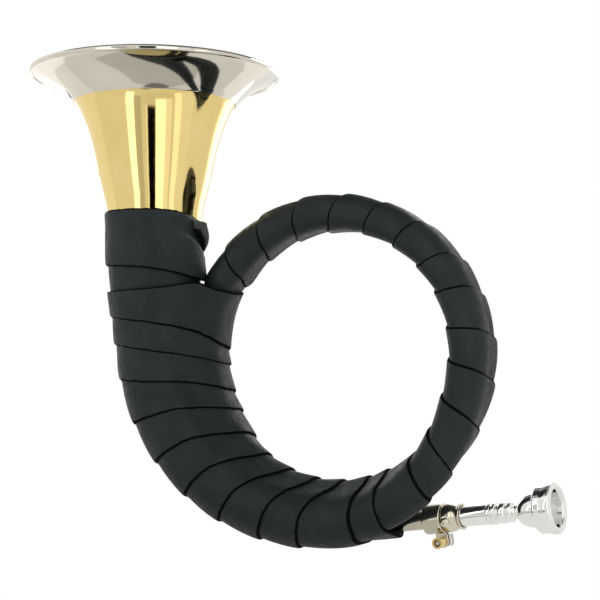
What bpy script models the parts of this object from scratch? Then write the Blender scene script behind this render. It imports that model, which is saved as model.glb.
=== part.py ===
"""Round hunting horn in B flat: a coiled brass tube wound with a leather strip, with a plated
bell rim, a clamped tuning slide and a mouthpiece that pulls out.

The coil lies in the XZ plane with its bell up (+Z), and the player's end points to +X. Lengths are
metres. Coil angles are degrees, clockwise seen from the front (-Y): 0 is the bottom, 90 the left,
180 the top and 270 the right. The tube runs from the mouthpiece at -8.5 to the bell at 810.
"""

import math

import bmesh
import bpy
import numpy as np
from mathutils import Matrix, Vector

# Coil
COIL_RADIUS = 0.0719
COIL_PITCH = 0.0140
FIRST_TURN_SWING = 0.0026
TUBE_RADIUS = 0.0056
TUBE_WALL = 0.0007
FIRST_JOINT_DEG = 300.0
SECOND_JOINT_DEG = 640.0

# Mouthpipe, which leaves the coil on a straight line
PIPE_LEAVES_DEG = -8.5
PIPE_BEYOND_COIL = 0.0174
PIPE_DEPTH = 0.0096
PIPE_TOE_DEG = 10.1
PIPE_BEND_LENGTH = 0.010
SPIGOT_LENGTH = 0.0045
PIPE_JOINS_COIL_DEG = 62.0
PIPE_RADIUS = 0.0048
PIPE_WALL = 0.0005

# Bell branch
BRANCH_STARTS_DEG = 640.0
BRANCH_BEYOND_COIL = 0.0118
BELL_BEYOND_COIL = 0.0236
STEM_LEAN = 0.0015
BELL_DEPTH = 0.0150
BOTTOM_TUBE_RADIUS = 0.0108
LEFT_TUBE_RADIUS = 0.0186
BELL_JOINT_Z = 0.046
BELL_JOINT_RADIUS = 0.0232
BELL_WALL = 0.0008

# Bell and its plated garland
RIM_Z = 0.1464
RIM_RADIUS = 0.0655
SEAM_Z = 0.1315
SEAM_RADIUS = 0.0420
GARLAND_SHEET = 0.0005
BEAD_RADIUS = 0.0015
RIM_WIRE_RADIUS = 0.0007

# Joints between tubes
FERRULE_LENGTH = 0.012
FERRULE_WALL = 0.00045
STAY_RADIUS = 0.0024

# Leather strip
LEATHER = 0.0006
TURN_GAP = 0.0011
TURNS = 24
POINTS_PER_TURN = 20
OVERLAP_SHARE = 0.12
WRAP_BASE = 0.0009
WRAP_STARTS_DEG = 119.7
WRAP_START_SLANT_DEG = 4.1
PIPE_WRAPPED_FROM_TURN = 13.5
WRAP_RAY_DEG = 3.0
WRAP_BEND_WEIGHT = 0.015
WRAP_ENDS_Z = 0.0340
COLLAR_TOP_Z = 0.0737
COLLAR_LEATHER = 0.0009
COLLAR_STEP_Z = 0.0430
FLAP_HEIGHT = 0.0170
FLAP_FACES_DEG = 6.0  # from the ring's side towards the back
FLAP_WIDTH = 0.0075

# Tuning slide and its clamp, along the mouthpipe from the middle of the clamp
CLAMP_MIDDLE_FROM_BEND = 0.0271
CLAMP_LENGTH = 0.0098
CLAMP_RADIUS = 0.0076
CLAMP_SLOT = 0.0012
EAR_THICKNESS = 0.0014
EAR_LENGTH = 0.0062
EAR_AHEAD = 0.0006
SCREW_DROP = 0.0114
SCREW_RADIUS = 0.00125
SCREW_LENGTH = 0.0112
BARREL_RADIUS = 0.0025
BARREL_LENGTH = 0.0058
WASHER_RADIUS = 0.0030
WASHER_THICKNESS = 0.0008
HEAD_RADIUS = 0.0021
HEAD_LENGTH = 0.0022
WING_LENGTH = 0.0052
WING_HEIGHT = 0.0060
WING_THICKNESS = 0.0015
SLIDE_RADIUS = 0.0040
SLIDE_WALL = 0.0005
SLIDE_LENGTH = 0.0290
SLEEVE_SLOT_LENGTH = 0.0120

# Receiver and mouthpiece
RECEIVER_LENGTH = 0.0124
RECEIVER_RADIUS = 0.0069
RECEIVER_LIP_RADIUS = 0.0061
RECEIVER_SOCKET = 0.0026
RECEIVER_SCREW_RADIUS = 0.0026
RECEIVER_SCREW_HEAD = 0.0013
SHANK_RADIUS = 0.00495
SHANK_DEPTH = 0.0096
SHANK_TAPER = 0.025
SHANK_SHOWN = 0.0110
MOUTHPIECE_BORE = 0.0019
BEADS_LENGTH = 0.0168
NECK_RADIUS = 0.0034
CUP_LENGTH = 0.0088
CUP_RADIUS = 0.0084
MOUTH_RIM_LENGTH = 0.0125
MOUTH_RIM_RADIUS = 0.0111
MOUTH_FACE_RADIUS = 0.0120
CUP_BORE = 0.0085

# Fits
GAP = 0.0003
RUNNING_GAP = 0.00035

# Mesh density
TUBE_STEP_DEG = 12.0
BELL_SEGMENTS = 28
SMALL_SEGMENTS = 20

# Radii from the coil's centre that follow from the ones above
PIPE_RADIAL = COIL_RADIUS + PIPE_BEYOND_COIL
BRANCH_BOTTOM_RADIAL = COIL_RADIUS + BRANCH_BEYOND_COIL
BELL_AXIS_X = COIL_RADIUS + BELL_BEYOND_COIL

BRASS = ("brass", (0.83, 0.66, 0.30), 0.16, 1.0)
NICKEL = ("nickel_silver", (0.68, 0.65, 0.58), 0.18, 1.0)
SILVER = ("silver_plate", (0.86, 0.86, 0.86), 0.10, 1.0)
STEEL = ("steel", (0.62, 0.62, 0.63), 0.30, 1.0)
HIDE = ("leather", (0.030, 0.036, 0.038), 0.50, 0.0)

OBJECT_NAME = "round_hunting_horn"


def clear_scene():
    for obj in list(bpy.data.objects):
        bpy.data.objects.remove(obj, do_unlink=True)


def new_collection(name, hidden=False):
    collection = bpy.data.collections.new(name)
    bpy.context.scene.collection.children.link(collection)
    collection.hide_render = hidden
    return collection


def new_material(name, colour, roughness, metallic):
    material = bpy.data.materials.new(name)
    material.use_nodes = True
    shader = material.node_tree.nodes["Principled BSDF"]
    shader.inputs["Base Color"].default_value = (*colour, 1.0)
    shader.inputs["Roughness"].default_value = roughness
    shader.inputs["Metallic"].default_value = metallic
    material.diffuse_color = (*colour, 1.0)
    return material


def place(name, data, finish, collection, parent=None):
    """An object of its own, with its own material."""
    obj = bpy.data.objects.new(name, data)
    collection.objects.link(obj)
    slot, colour, roughness, metallic = finish
    data.materials.append(new_material(f"{name}_{slot}", colour, roughness, metallic))
    obj.parent = parent
    return obj


def mark_cutter(obj):
    obj.hide_render = True
    obj.display_type = "WIRE"


def smooth(share):
    """0 to 1 with level ends."""
    share = np.clip(share, 0.0, 1.0)
    return share * share * (3.0 - 2.0 * share)


def through(x, knots):
    """A smooth curve through the knots, with no overshoot between them."""
    xs, ys = np.array(knots, dtype=float).T
    steps = np.diff(ys) / np.diff(xs)
    slopes = np.zeros(len(xs))
    same = steps[:-1] * steps[1:] > 0
    slopes[1:-1][same] = 2.0 * (steps[:-1] * steps[1:])[same] / (steps[:-1] + steps[1:])[same]
    slopes[0], slopes[-1] = steps[0], steps[-1]
    x = float(np.clip(x, xs[0], xs[-1]))
    i = int(min(np.searchsorted(xs, x, side="right") - 1, len(xs) - 2))
    width = xs[i + 1] - xs[i]
    s = (x - xs[i]) / width
    return float(
        ys[i] * (1 + 2 * s) * (1 - s) ** 2
        + slopes[i] * width * s * (1 - s) ** 2
        + ys[i + 1] * s * s * (3 - 2 * s)
        + slopes[i + 1] * width * s * s * (s - 1)
    )


def coil_radial(deg):
    """Distance of the tube's centre line from the coil's centre."""
    if deg < PIPE_LEAVES_DEG:
        return PIPE_RADIAL / math.cos(math.radians(deg - PIPE_LEAVES_DEG))
    if deg < PIPE_JOINS_COIL_DEG:
        share = (deg - PIPE_LEAVES_DEG) / (PIPE_JOINS_COIL_DEG - PIPE_LEAVES_DEG)
        return PIPE_RADIAL + (COIL_RADIUS - PIPE_RADIAL) * float(smooth(share))
    if deg <= 720.0:
        share = (deg - BRANCH_STARTS_DEG) / (720.0 - BRANCH_STARTS_DEG)
        branch = (BRANCH_BOTTOM_RADIAL - COIL_RADIUS) * float(smooth(share))
        return COIL_RADIUS + FIRST_TURN_SWING * swing_share(deg) + branch
    share = through((deg - 720.0) / 90.0, [(0.0, 0.0), (0.17, 0.11), (0.5, 0.50), (0.83, 0.86), (1.0, 1.0)])
    return BRANCH_BOTTOM_RADIAL + (stem_axis(0.0) - BRANCH_BOTTOM_RADIAL) * share


def swing_share(deg):
    """How far the end of the first turn swings out past the second one, from 0 to 1."""
    knots = [(200.0, 0.0), (245.0, 0.3), (275.0, 0.9), (300.0, 1.0), (330.0, 0.55), (370.0, 0.35), (400.0, 0.0)]
    return through(deg, knots)


def stem_axis(z):
    """Distance of the bell branch's centre line from the coil's, where the branch stands upright."""
    return BELL_AXIS_X - STEM_LEAN * max(0.0, 1.0 - z / BELL_JOINT_Z) ** 2


def coil_depth(deg):
    """Y of the centre line: the turns lie side by side, the first one at the back."""
    if deg < 90.0:
        share = max(0.0, deg - PIPE_LEAVES_DEG) / (90.0 - PIPE_LEAVES_DEG)
        return PIPE_DEPTH + (COIL_PITCH * 0.74 - PIPE_DEPTH) * share
    knots = [(90.0, 0.74), (360.0, 0.0), (540.0, -0.51), (630.0, -0.80), (720.0, -0.97)]
    if deg <= 720.0:
        return COIL_PITCH * through(deg, knots)
    return -COIL_PITCH * 0.97 - (BELL_DEPTH - COIL_PITCH * 0.97) * float(smooth((deg - 720.0) / 80.0))


def tube_radius(deg):
    """Outer radius of the tube, which widens all the way to the bell."""
    knots = [
        (PIPE_LEAVES_DEG, PIPE_RADIUS),
        (90.0, TUBE_RADIUS),
        (590.0, TUBE_RADIUS + 0.0003),
        (640.0, TUBE_RADIUS + 0.0011),
        (690.0, TUBE_RADIUS + 0.48 * (BOTTOM_TUBE_RADIUS - TUBE_RADIUS)),
        (720.0, BOTTOM_TUBE_RADIUS),
        (765.0, BOTTOM_TUBE_RADIUS + 0.46 * (LEFT_TUBE_RADIUS - BOTTOM_TUBE_RADIUS)),
        (810.0, LEFT_TUBE_RADIUS),
    ]
    return through(deg, knots)


def stem_radius(z):
    """Outer radius of the bell branch where it stands upright."""
    return through(z, [(0.0, LEFT_TUBE_RADIUS), (BELL_JOINT_Z, BELL_JOINT_RADIUS), *bell_knots()[:2]])


def bell_knots():
    """Height and outer radius of the flare, from its joint to the edge under the rim bead."""
    rise = SEAM_Z - BELL_JOINT_Z
    under_seam = SEAM_RADIUS - GARLAND_SHEET - GAP
    edge = RIM_RADIUS - 2.0 * BEAD_RADIUS - 0.0006
    grow = under_seam - BELL_JOINT_RADIUS
    spread = edge - under_seam
    lift = RIM_Z - SEAM_Z
    return [
        (BELL_JOINT_Z + 0.282 * rise, BELL_JOINT_RADIUS + 0.110 * grow),
        (BELL_JOINT_Z + 0.423 * rise, BELL_JOINT_RADIUS + 0.220 * grow),
        (BELL_JOINT_Z + 0.622 * rise, BELL_JOINT_RADIUS + 0.445 * grow),
        (BELL_JOINT_Z + 0.799 * rise, BELL_JOINT_RADIUS + 0.645 * grow),
        (BELL_JOINT_Z + 0.904 * rise, BELL_JOINT_RADIUS + 0.800 * grow),
        (BELL_JOINT_Z + 0.974 * rise, BELL_JOINT_RADIUS + 0.952 * grow),
        (SEAM_Z, under_seam + 0.02 * spread),
        (SEAM_Z + 0.26 * lift, under_seam + 0.19 * spread),
        (SEAM_Z + 0.50 * lift, under_seam + 0.41 * spread),
        (SEAM_Z + 0.72 * lift, under_seam + 0.66 * spread),
        (SEAM_Z + 0.88 * lift, under_seam + 0.87 * spread),
        (RIM_Z - 0.055 * lift, edge),
    ]


def coil_point(deg):
    """Centre line of the tube at a coil angle."""
    turn = math.radians(deg)
    radial = coil_radial(deg)
    return Vector((-radial * math.sin(turn), coil_depth(deg), -radial * math.cos(turn)))


def pipe_direction():
    rise, toe = math.radians(-PIPE_LEAVES_DEG), math.radians(PIPE_TOE_DEG)
    return Vector((math.cos(rise) * math.cos(toe), -math.cos(rise) * math.sin(toe), math.sin(rise)))


def pipe_bend():
    """Where the mouthpipe's straight part starts, past a short bend from the coil's plane."""
    start = coil_point(PIPE_LEAVES_DEG)
    rise = math.radians(-PIPE_LEAVES_DEG)
    level = Vector((math.cos(rise), 0.0, math.sin(rise)))
    return start + (level + pipe_direction()) * (0.5 * PIPE_BEND_LENGTH)


def pipe_frame():
    """Middle of the clamp, with local +Z along the mouthpipe, +X to the front and +Y down."""
    along = pipe_direction()
    toe = math.radians(PIPE_TOE_DEG)
    front = Vector((-math.sin(toe), -math.cos(toe), 0.0))
    down = along.cross(front)
    frame = Matrix((front, down, along)).transposed().to_4x4()
    frame.translation = pipe_bend() + along * CLAMP_MIDDLE_FROM_BEND
    return frame


def curve_tube(name, points, radii, wall, finish, collection, parent=None, sides=8):
    """A hollow tube with open ends along the points."""
    curve = bpy.data.curves.new(f"{name}_path", "CURVE")
    curve.dimensions = "3D"
    curve.bevel_depth = 1.0
    curve.bevel_resolution = (sides - 4) // 2
    curve.use_fill_caps = False
    spline = curve.splines.new("POLY")
    spline.points.add(len(points) - 1)
    for point, place_at, radius in zip(spline.points, points, radii):
        point.co = (*place_at, 1.0)
        point.radius = radius
    path = bpy.data.objects.new(f"{name}_path", curve)
    collection.objects.link(path)
    graph = bpy.context.evaluated_depsgraph_get()
    mesh = bpy.data.meshes.new_from_object(path.evaluated_get(graph))
    bpy.data.objects.remove(path, do_unlink=True)
    bpy.data.curves.remove(curve)
    mesh.name = name
    mesh.materials.clear()
    obj = place(name, mesh, finish, collection, parent)
    shell = obj.modifiers.new("wall", "SOLIDIFY")
    shell.thickness = wall
    shell.offset = -1.0
    mesh.shade_smooth()
    return obj


def profile_mesh(name, points, closed):
    """A profile in the XZ plane, given as radius and height."""
    mesh = bpy.data.meshes.new(name)
    edges = [(i, i + 1) for i in range(len(points) - 1)]
    if closed:
        edges.append((len(points) - 1, 0))
    mesh.from_pydata([(r, 0.0, z) for r, z in points], edges, [])
    return mesh


def turned(name, points, finish, collection, parent=None, segments=SMALL_SEGMENTS, closed=True):
    """A ring or a solid turned about local Z. The outer side of the profile runs top to bottom."""
    obj = place(name, profile_mesh(name, points, closed), finish, collection, parent)
    screw = obj.modifiers.new("turn", "SCREW")
    screw.steps = segments
    screw.render_steps = segments
    screw.use_merge_vertices = True
    screw.merge_threshold = 0.00001
    screw.use_smooth_shade = True
    return obj


def ring_points(outer, inner, top, bottom):
    return [(outer, top), (outer, bottom), (inner, bottom), (inner, top)]


def box(name, low, high, finish, collection, parent=None):
    """A block between two corners of the parent's frame."""
    mesh = bpy.data.meshes.new(name)
    shape = bmesh.new()
    bmesh.ops.create_cube(shape, size=1.0)
    size = Vector(high) - Vector(low)
    bmesh.ops.scale(shape, vec=size, verts=shape.verts)
    bmesh.ops.translate(shape, vec=(Vector(high) + Vector(low)) * 0.5, verts=shape.verts)
    shape.to_mesh(mesh)
    shape.free()
    return place(name, mesh, finish, collection, parent)


def prism(name, outline, low, high, finish, collection, parent=None):
    """An outline in the parent's YZ plane, drawn out along its X axis."""
    mesh = bpy.data.meshes.new(name)
    shape = bmesh.new()
    ends = [[shape.verts.new((x, y, z)) for y, z in outline] for x in (low, high)]
    shape.faces.new(ends[0])
    shape.faces.new(list(reversed(ends[1])))
    for i in range(len(outline)):
        j = (i + 1) % len(outline)
        shape.faces.new((ends[0][i], ends[1][i], ends[1][j], ends[0][j]))
    bmesh.ops.recalc_face_normals(shape, faces=shape.faces)
    shape.to_mesh(mesh)
    shape.free()
    return place(name, mesh, finish, collection, parent)


def cylinder(name, radius, start, end, finish, collection, parent=None, segments=SMALL_SEGMENTS):
    """A round bar between two points of the parent's frame."""
    mesh = bpy.data.meshes.new(name)
    shape = bmesh.new()
    start, end = Vector(start), Vector(end)
    bmesh.ops.create_cone(
        shape,
        cap_ends=True,
        segments=segments,
        radius1=radius,
        radius2=radius,
        depth=(end - start).length,
        matrix=Matrix.Translation((start + end) * 0.5)
        @ (end - start).to_track_quat("Z", "Y").to_matrix().to_4x4(),
    )
    shape.to_mesh(mesh)
    shape.free()
    return place(name, mesh, finish, collection, parent)


def combine(obj, other, operation):
    modifier = obj.modifiers.new(operation.lower(), "BOOLEAN")
    modifier.operation = operation
    modifier.object = other
    modifier.solver = "EXACT"
    mark_cutter(other)


def offset_path(points, distance):
    """The path moved sideways, to its left as it runs."""
    moved = []
    for i, (r, z) in enumerate(points):
        before, after = points[max(i - 1, 0)], points[min(i + 1, len(points) - 1)]
        run = Vector((after[0] - before[0], after[1] - before[1])).normalized()
        moved.append((r - run.y * distance, z + run.x * distance))
    return moved


def coil_run(first_deg, last_deg):
    """Even steps along the coil, with shorter ones at each end that square the tube's end."""
    count = max(2, round((last_deg - first_deg) / TUBE_STEP_DEG))
    run = [first_deg + (last_deg - first_deg) * i / count for i in range(count + 1)]
    half = TUBE_STEP_DEG / 2
    return [run[0], run[0] + 0.5, run[0] + half, *run[1:-1], run[-1] - half, run[-1] - 0.5, run[-1]]


def degrees_of(length):
    """The coil angle that a length along the coil's centre line takes."""
    return math.degrees(length / COIL_RADIUS)


def build_coils(parts):
    """The two turns of even tube, from the mouthpipe to the branch that widens to the bell."""
    half_gap = degrees_of(GAP) / 2
    first = coil_run(PIPE_LEAVES_DEG, FIRST_JOINT_DEG - half_gap)
    spigot = [SPIGOT_LENGTH, 0.0, -0.0004]
    points = [pipe_bend() + pipe_direction() * along for along in spigot]
    points += [coil_point(deg) for deg in first]
    narrow = PIPE_RADIUS - PIPE_WALL - GAP
    radii = [narrow, narrow, PIPE_RADIUS, *(tube_radius(deg) for deg in first)]
    curve_tube("first_coil", points, radii, TUBE_WALL, BRASS, parts)
    second = coil_run(FIRST_JOINT_DEG + half_gap, SECOND_JOINT_DEG - half_gap)
    radii = [tube_radius(deg) for deg in second]
    curve_tube("second_coil", [coil_point(deg) for deg in second], radii, TUBE_WALL, BRASS, parts)


def build_bell_bow(parts):
    """The widening tube from the second coil up to the foot of the bell."""
    run = coil_run(SECOND_JOINT_DEG + degrees_of(GAP) / 2, 810.0 - 4.0)
    points = [coil_point(deg) for deg in run]
    radii = [tube_radius(deg) for deg in run]
    top = BELL_JOINT_Z - GAP / 2
    for z in np.linspace(0.006, top, 5):
        points.append(Vector((-stem_axis(z), -BELL_DEPTH, z)))
        radii.append(stem_radius(z))
    curve_tube("bell_bow", points, radii, TUBE_WALL, BRASS, parts, sides=24)


def ferrule(name, deg, parts):
    """A short sleeve inside the joint of two tubes of the coil."""
    reach = degrees_of(FERRULE_LENGTH) / 2
    run = np.linspace(deg - reach, deg + reach, 3)
    radii = [tube_radius(d) - TUBE_WALL - 2.0 * GAP for d in run]
    curve_tube(name, [coil_point(d) for d in run], radii, FERRULE_WALL, BRASS, parts)


def build_ferrules(parts):
    ferrule("first_ferrule", FIRST_JOINT_DEG, parts)
    ferrule("second_ferrule", SECOND_JOINT_DEG, parts)
    low, high = BELL_JOINT_Z - FERRULE_LENGTH / 2, BELL_JOINT_Z + FERRULE_LENGTH / 2
    heights = (high, BELL_JOINT_Z, low)
    outer = [(stem_radius(z) - BELL_WALL - GAP, z) for z in heights]
    inner = [(r - FERRULE_WALL, z) for r, z in reversed(outer)]
    obj = turned("bell_ferrule", outer + inner, BRASS, parts, segments=BELL_SEGMENTS)
    obj.location = (-BELL_AXIS_X, -BELL_DEPTH, 0.0)


def build_bell(parts):
    """The flare, a thin shell that is open at both ends."""
    knots = [(BELL_JOINT_Z + GAP / 2, stem_radius(BELL_JOINT_Z)), *bell_knots()]
    outer = [(r, z) for z, r in reversed(knots)]
    obj = turned("bell_flare", outer, BRASS, parts, segments=BELL_SEGMENTS, closed=False)
    obj.location = (-BELL_AXIS_X, -BELL_DEPTH, 0.0)
    shell = obj.modifiers.new("wall", "SOLIDIFY")
    shell.thickness = BELL_WALL
    shell.offset = -1.0


def build_garland(parts):
    """The plated sheet round the flare, rolled over a wire at the rim."""
    cover = [(r, z) for z, r in bell_knots() if z >= SEAM_Z - GAP]
    under = offset_path(cover, -(GAP + GARLAND_SHEET))
    bead = (RIM_RADIUS - BEAD_RADIUS, RIM_Z)
    roll = []
    for turn in (-75.0, -25.0, 25.0, 75.0, 125.0):
        angle = math.radians(turn)
        roll.append((bead[0] + BEAD_RADIUS * math.cos(angle), bead[1] + BEAD_RADIUS * math.sin(angle)))
    path = under[:-1] + roll
    outer = list(reversed(path))
    inner = offset_path(path, GARLAND_SHEET)
    at_bell = (-BELL_AXIS_X, -BELL_DEPTH, 0.0)
    obj = turned("bell_garland", outer + inner, NICKEL, parts, segments=BELL_SEGMENTS)
    obj.location = at_bell
    wire = []
    for step in range(6):
        angle = math.radians(90.0 - 60.0 * step)
        wire.append((bead[0] + RIM_WIRE_RADIUS * math.cos(angle), bead[1] + RIM_WIRE_RADIUS * math.sin(angle)))
    obj = turned("rim_wire", wire, STEEL, parts, segments=BELL_SEGMENTS)
    obj.location = at_bell


def build_stays(parts):
    """Short posts soldered between neighbouring turns, under the leather."""
    for name, deg in (("stay_left", 100.0), ("stay_top", 180.0), ("stay_right", 255.0)):
        back, front = coil_point(deg), coil_point(deg + 360.0)
        run = (front - back).normalized()
        start = back + run * (tube_radius(deg) + GAP)
        end = front - run * (tube_radius(deg + 360.0) + GAP)
        cylinder(name, STAY_RADIUS, start, end, BRASS, parts, segments=12)


def bundle(station, with_pipe):
    """The tubes that the leather goes round at a station, as distance out, depth and radius.

    Up to 450 the station is a coil angle, and past it the section is level and goes up the stem.
    The last two are the second coil, or the first where there is no more, and the bell branch.
    """
    if station <= 450.0:
        angles = [station - 360.0] if with_pipe else []
        angles += [station, station + 360.0]
        return [(coil_radial(a), coil_depth(a), tube_radius(a)) for a in angles]
    z = station_height(station)
    out = math.sqrt(COIL_RADIUS**2 - z * z)
    slant = COIL_RADIUS / out
    lift = math.degrees(math.asin(z / COIL_RADIUS))
    tubes = [(out, coil_depth(a + lift), TUBE_RADIUS * slant) for a in (90.0, 450.0)]
    return [*tubes, (stem_axis(z), -BELL_DEPTH, stem_radius(z))]


def station_height(station):
    return (station - 450.0) * math.radians(BELL_AXIS_X)


def height_station(z):
    return 450.0 + z / math.radians(BELL_AXIS_X)


def wrap_point(station, with_pipe, share, offset):
    """A point on a sheet drawn tight round the tubes, at a share of the way round it.

    The way starts on the outer side and passes the back, the inner side and the front. Half way is
    on the inner side. The points stand closer together where the sheet bends more.
    """
    tubes = np.array(bundle(station, with_pipe))
    middle = tubes[-2:, :2].mean(axis=0)
    turns = np.radians(np.arange(0.0, 361.0, WRAP_RAY_DEG))
    rays = np.stack([np.cos(turns), np.sin(turns)], axis=1)
    reach = ((tubes[:, :2] - middle) @ rays.T + tubes[:, 2:]).max(axis=0) + offset
    facing = rays @ rays.T
    lengths = np.where(facing > 0.05, reach / np.maximum(facing, 0.05), 1.0).min(axis=1)
    outline = middle + rays * lengths[:, None]
    steps = np.diff(outline, axis=0)
    heading = np.unwrap(np.arctan2(steps[:, 1], steps[:, 0]))
    bends = np.abs(np.diff(heading, append=heading[0] + 2.0 * math.pi))
    way = np.concatenate([[0.0], np.cumsum(np.hypot(*steps.T) + WRAP_BEND_WEIGHT * bends)])
    half = len(turns) // 2
    if share <= 0.5:
        at = way[half] * share * 2.0
    else:
        at = way[half] + (way[-1] - way[half]) * (share * 2.0 - 1.0)
    out, depth = np.interp(at, way, outline[:, 0]), np.interp(at, way, outline[:, 1])
    if station > 450.0:
        return Vector((-out, depth, station_height(station)))
    turn = math.radians(station)
    return Vector((-out * math.sin(turn), depth, -out * math.cos(turn)))


def turn_edge(count):
    """Station of the strip's raised edge on the outer side, after so many turns."""
    knots = [(0.0, 115.7), (0.21, 194.0), (0.42, 281.0), (0.62, 359.0), (0.83, 423.0), (1.0, 463.0)]
    return through(count / TURNS, knots)


def wrap_station(count):
    """The same edge at any angle round the tubes: the front crosses more steeply than the back."""
    base, share = divmod(count, 1.0)
    here, after = turn_edge(base), turn_edge(base + 1.0)
    front = 0.40 + 0.75 * float(smooth((here - 300.0) / 60.0))
    climb = share - (front - 0.5) * math.sin(math.pi * share) ** 2
    return here + (after - here) * climb, after - here


def winding_rings():
    """The strip's section at each point of the winding: raised edge first, outside then inside."""
    fall = (LEATHER + TURN_GAP) / (1.0 - OVERLAP_SHARE)
    last = height_station(WRAP_ENDS_Z)
    rings = []
    for i in range(TURNS * POINTS_PER_TURN + 1):
        count = i / POINTS_PER_TURN
        edge, pitch = wrap_station(min(count, TURNS - 1e-6))
        width = pitch / (1.0 - OVERLAP_SHARE)
        start = WRAP_STARTS_DEG - WRAP_START_SLANT_DEG * math.cos(2.0 * math.pi * count)
        low, high = max(edge, start), min(edge + width, last)
        share = count % 1.0
        with_pipe = count >= PIPE_WRAPPED_FROM_TURN
        outside, inside = [], []
        for station in (low, 0.5 * (low + high), high):
            lift = WRAP_BASE + fall * (1.0 - (station - edge) / width)
            outside.append(wrap_point(station, with_pipe, share, lift + LEATHER))
            inside.append(wrap_point(station, with_pipe, share, lift))
        rings.append((outside, inside))
    return rings


def along_row(row, share):
    """A point across the strip, at a share of its width from the raised edge."""
    half = min(int(share * 2.0), 1)
    return row[half].lerp(row[half + 1], share * 2.0 - half)


def least_turn_gap(rings):
    """The least distance between the faces of neighbouring turns, on points along their edges."""
    least = 1.0
    for under, over in zip(rings, rings[POINTS_PER_TURN:]):
        outside = [along_row(under[0], share) for share in np.linspace(0.7, 1.0, 13)]
        inside = [along_row(over[1], share) for share in np.linspace(0.0, 0.3, 13)]
        least = min(least, min((a - b).length for a in outside for b in inside))
    return least


def build_winding(parts):
    """One unbroken leather strip, wound round the coil with each turn lapped over the one before."""
    rings = winding_rings()
    shape = bmesh.new()
    rows = [[shape.verts.new(point) for point in (*outside, *reversed(inside))] for outside, inside in rings]
    sides = len(rows[0])
    for row, after in zip(rows, rows[1:]):
        for side in range(sides):
            other = (side + 1) % sides
            shape.faces.new((row[side], after[side], after[other], row[other]))
    shape.faces.new(rows[0])
    shape.faces.new(list(reversed(rows[-1])))
    bmesh.ops.recalc_face_normals(shape, faces=shape.faces)
    mesh = bpy.data.meshes.new("leather_winding")
    shape.to_mesh(mesh)
    shape.free()
    place("leather_winding", mesh, HIDE, parts)
    print(f"least gap between turns of the winding: {least_turn_gap(rings) * 1000:.2f} mm")


def collar_radius(z):
    """Inner radius of the leather on the stem."""
    return stem_radius(z) + GAP


def build_collar(parts):
    """The last turns of leather, which sit on the stem under the bell, and their folded end."""
    low = WRAP_ENDS_Z + 0.0005
    step = COLLAR_STEP_Z
    outer = [(collar_radius(COLLAR_TOP_Z) + COLLAR_LEATHER, COLLAR_TOP_Z)]
    outer += [(collar_radius(z) + COLLAR_LEATHER, z) for z in (step + 0.012, step + 0.004)]
    outer.append((collar_radius(step) + 1.7 * COLLAR_LEATHER, step))
    outer += [(collar_radius(step) + COLLAR_LEATHER, step - GAP), (collar_radius(low) + COLLAR_LEATHER, low)]
    inner = [(collar_radius(z), z) for z in (low, step, step + 0.004, step + 0.012, COLLAR_TOP_Z)]
    obj = turned("leather_collar", outer + inner, HIDE, parts, segments=BELL_SEGMENTS)
    obj.location = (-BELL_AXIS_X, -BELL_DEPTH, 0.0)
    build_flap(parts)


def build_flap(parts):
    """The strip's end, folded flat against the ring's side of the collar."""
    shape = bmesh.new()
    rows = []
    middle = math.radians(FLAP_FACES_DEG)
    for share in np.linspace(0.0, 1.0, 5):
        z = COLLAR_TOP_Z - 0.002 - FLAP_HEIGHT * share
        row = []
        for side in np.linspace(-0.5, 0.5, 4):
            radius = collar_radius(z) + COLLAR_LEATHER + GAP + 0.0002
            angle = middle + side * FLAP_WIDTH * (1.0 - 0.35 * share) / radius
            row.append(shape.verts.new((radius * math.cos(angle), radius * math.sin(angle), z)))
        rows.append(row)
    for row, after in zip(rows, rows[1:]):
        for i in range(3):
            shape.faces.new((row[i], after[i], after[i + 1], row[i + 1]))
    bmesh.ops.recalc_face_normals(shape, faces=shape.faces)
    mesh = bpy.data.meshes.new("leather_end")
    shape.to_mesh(mesh)
    shape.free()
    obj = place("leather_end", mesh, HIDE, parts)
    obj.location = (-BELL_AXIS_X, -BELL_DEPTH, 0.0)
    skin = obj.modifiers.new("thickness", "SOLIDIFY")
    skin.thickness = COLLAR_LEATHER
    skin.offset = 1.0 if faces_out(mesh) else -1.0


def faces_out(mesh):
    """True where the open sheet's faces point away from the local Z axis."""
    face = mesh.polygons[0]
    return face.normal.x * face.center.x + face.normal.y * face.center.y > 0.0


def sleeve_start():
    """Where the mouthpipe sleeve starts, over the end of the first coil, along the pipe's frame."""
    return GAP - CLAMP_MIDDLE_FROM_BEND


def build_pipe(parts, cutters, pipe):
    """The mouthpipe's outer sleeve, split where the clamp closes on it."""
    top, start = CLAMP_LENGTH / 2 - GAP, sleeve_start()
    sleeve = turned(
        "mouthpipe_sleeve",
        ring_points(PIPE_RADIUS, PIPE_RADIUS - PIPE_WALL, top, start),
        NICKEL,
        parts,
        pipe,
    )
    low = (-CLAMP_SLOT / 2, 0.0, top - SLEEVE_SLOT_LENGTH)
    high = (CLAMP_SLOT / 2, PIPE_RADIUS * 1.5, top + 0.001)
    slot = box("sleeve_slot_cutter", low, high, STEEL, cutters, pipe)
    combine(sleeve, slot, "DIFFERENCE")


def ear_outer():
    return CLAMP_SLOT / 2 + EAR_THICKNESS


def screw_along():
    """Where the screw's axis crosses the pipe's frame, along local Z."""
    return CLAMP_LENGTH / 2 + EAR_AHEAD


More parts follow.
